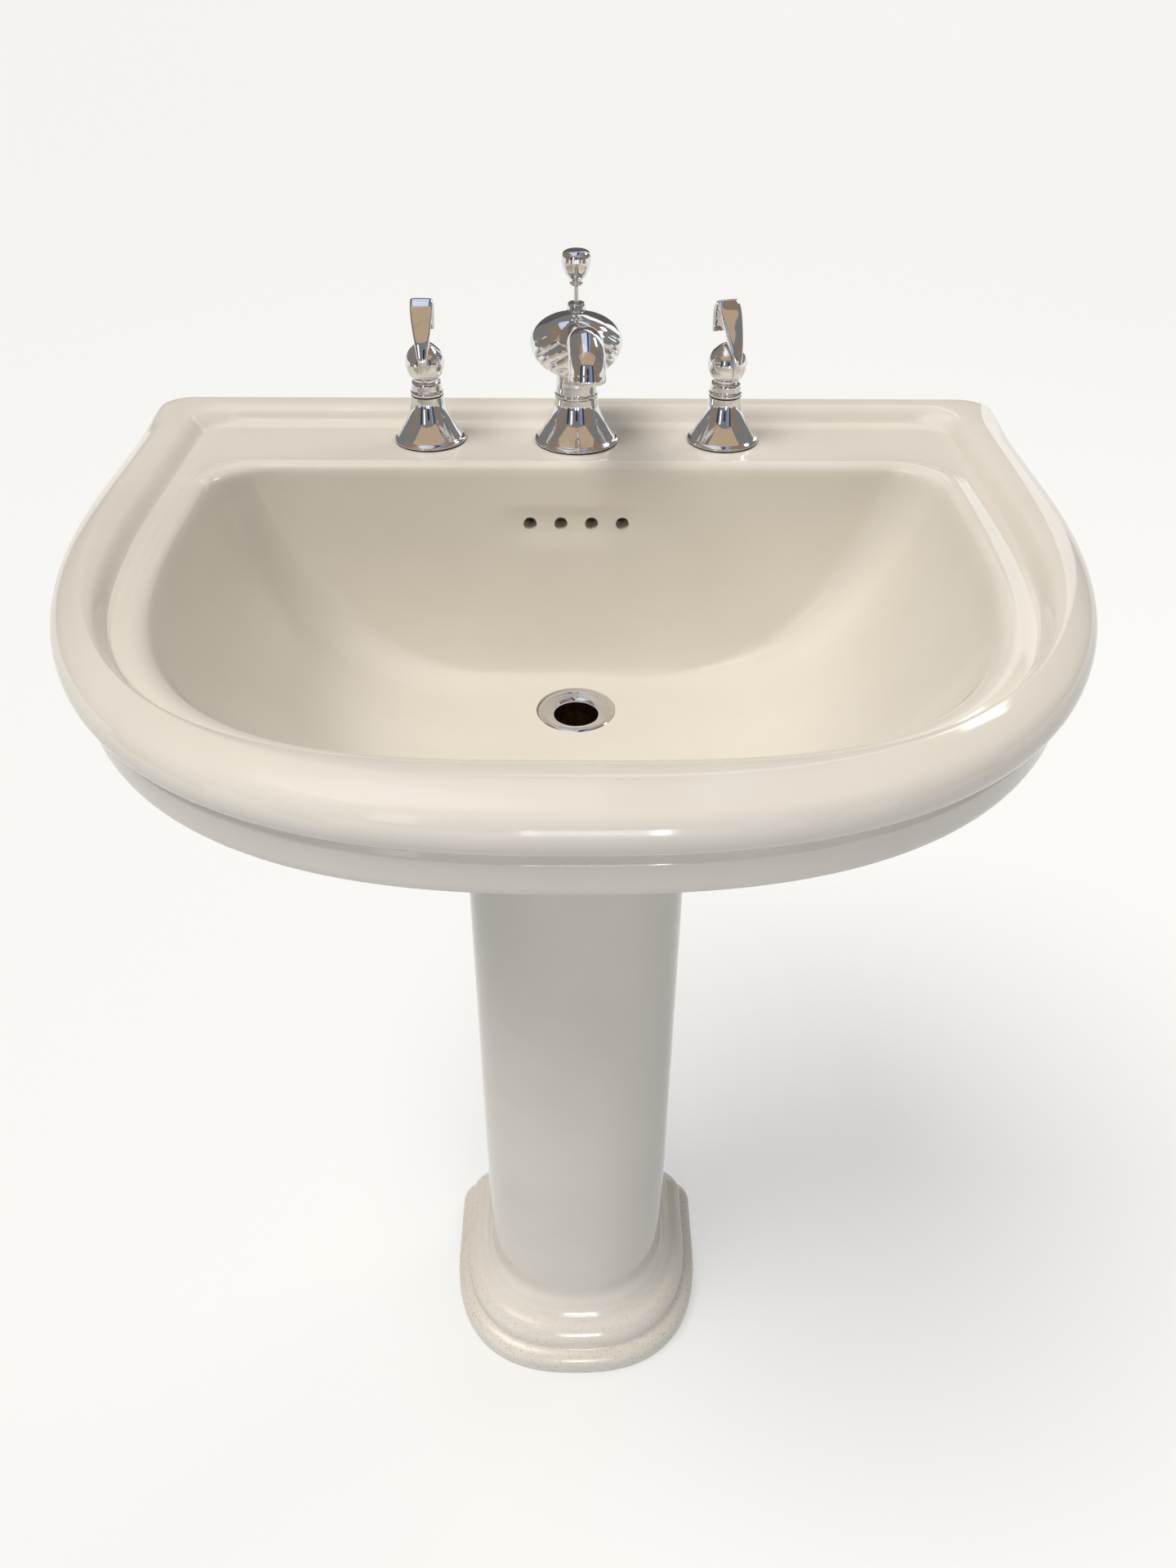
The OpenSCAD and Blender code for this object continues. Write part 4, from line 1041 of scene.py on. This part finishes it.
def makeStage():
    look = stageLook
    mesh = bpy.data.meshes.new("floor")
    mesh.from_pydata([(-30, -30, 0), (30, -30, 0), (30, 30, 0), (-30, 30, 0)], [], [(0, 1, 2, 3)])
    floor = bpy.data.objects.new("floor", mesh)
    scene.collection.objects.link(floor)
    paint = bpy.data.materials.new("floorPaint")
    paint.use_nodes = True
    shader = paint.node_tree.nodes["Principled BSDF"]
    shader.inputs["Base Color"].default_value = look["floor"] + (1.0,)
    shader.inputs["Roughness"].default_value = 0.9
    shader.inputs["Emission Color"].default_value = (1.0, 0.995, 0.985, 1.0)
    shader.inputs["Emission Strength"].default_value = look["floorGlow"]
    mesh.materials.append(paint)
    floor.visible_diffuse = False

    world = bpy.data.worlds.new("studio")
    world.use_nodes = True
    back = world.node_tree.nodes["Background"]
    back.inputs[0].default_value = look["world"] + (1.0,)
    back.inputs[1].default_value = look["worldPower"]
    scene.world = world

    def softLight(name, place, target, size, power, colour):
        lamp = bpy.data.lights.new(name, "AREA")
        lamp.shape = "RECTANGLE"
        lamp.size, lamp.size_y = size
        lamp.energy = power
        lamp.color = colour
        holder = bpy.data.objects.new(name, lamp)
        holder.location = place
        aim = Vector(target) - Vector(place)
        holder.rotation_euler = aim.to_track_quat("-Z", "Y").to_euler()
        scene.collection.objects.link(holder)
    def farLight(name, side, lift, power, softness, colour):
        # even light from one side; side 0 is the front, lift is its height in degrees
        lamp = bpy.data.lights.new(name, "SUN")
        lamp.energy = power
        lamp.angle = math.radians(softness)
        lamp.color = colour
        holder = bpy.data.objects.new(name, lamp)
        side, lift = math.radians(side), math.radians(lift)
        aim = -Vector((math.sin(side) * math.cos(lift), -math.cos(side) * math.cos(lift),
                       math.sin(lift)))
        holder.rotation_euler = aim.to_track_quat("-Z", "Y").to_euler()
        scene.collection.objects.link(holder)
    farLight("keyLight", look["keySide"], look["keyHeight"], look["keyPower"], look["keySoftness"],
             (1.0, 0.96, 0.90))
    farLight("backLight", 165, 14, look["backPower"], 50, (0.97, 0.98, 1.0))
    softLight("frontLight", (0.2, -3.9, 0.55), (0, 0, 0.5), (1.0, 1.0), 50, (0.97, 0.98, 1.0))
    softLight("stripLight", (1.5, 1.2, 2.6), (0, 0, 0.8), (0.9, 0.35), 9, (1.0, 0.95, 0.88))

    # warm ceiling, dark and cool strips that only the metal and the glaze see
    addCard("ceilingFront", [(-3, -3.6, 3.4), (3, -3.6, 3.4), (3, -0.9, 3.4), (-3, -0.9, 3.4)],
            (0.60, 0.45, 0.30), 0.9)
    for name, x0, x1, colour, power in (
            ("ceilingLeft", -3.0, -1.0, (0.36, 0.27, 0.19), 0.8),
            ("ceilingCool", -1.0, 0.10, (0.72, 0.80, 0.98), 0.95),
            ("ceilingDark", 0.10, 0.42, (0.05, 0.045, 0.07), 1.0),
            ("ceilingBlue", 0.42, 0.75, (0.25, 0.38, 0.75), 1.0),
            ("ceilingRight", 0.75, 3.0, (0.36, 0.27, 0.19), 0.8)):
        addCard(name, [(x0, -0.9, 3.4), (x1, -0.9, 3.4), (x1, 2.4, 3.4), (x0, 2.4, 3.4)],
                colour, power)
    wallCard("windowCard", -24, 0.34, 1.1, 2.3, 2.5, (0.80, 0.88, 1.0), 1.9)
    wallCard("darkLeft", -42, 0.5, 0.0, 2.2, 2.6, (0.05, 0.045, 0.05), 1.0)
    wallCard("darkFront", 2, 0.5, 0.3, 2.0, 2.4, (0.035, 0.03, 0.05), 1.0)
    wallCard("coolFront", 24, 0.30, 0.3, 2.3, 2.45, (0.25, 0.38, 0.72), 1.0)
    wallCard("darkRight", 36, 0.35, 0.3, 2.3, 2.5, (0.05, 0.045, 0.05), 1.0)
    wallCard("warmRight", 66, 1.3, 0.2, 2.2, 2.6, (0.36, 0.26, 0.18), 0.8)
    wallCard("warmLeft", -78, 1.3, 0.2, 2.2, 2.6, (0.36, 0.27, 0.19), 0.8)
    wallCard("darkBack", 180, 2.6, 0.9, 2.4, 2.6, (0.16, 0.14, 0.13), 0.8)

    pitch, yaw, roll = (math.radians(look[k]) for k in ("pitch", "yaw", "roll"))
    ahead = Vector((math.sin(yaw) * math.cos(pitch), math.cos(yaw) * math.cos(pitch),
                    -math.sin(pitch)))
    right = Vector((math.cos(yaw), -math.sin(yaw), 0))
    up = right.cross(ahead)
    side = right * math.cos(roll) + up * math.sin(roll)
    top = up * math.cos(roll) - right * math.sin(roll)
    camera = bpy.data.cameras.new("camera")
    camera.lens = look["lens"]
    camera.sensor_width = 36
    camera.sensor_fit = "AUTO"
    holder = bpy.data.objects.new("camera", camera)
    turn = Matrix((side, top, -ahead)).transposed().to_4x4()
    holder.matrix_world = Matrix.Translation(Vector(look["camera"]) * mm) @ turn
    scene.collection.objects.link(holder)
    scene.camera = holder
    scene.view_settings.view_transform = "Standard"
    print("stage done")


makeStage()
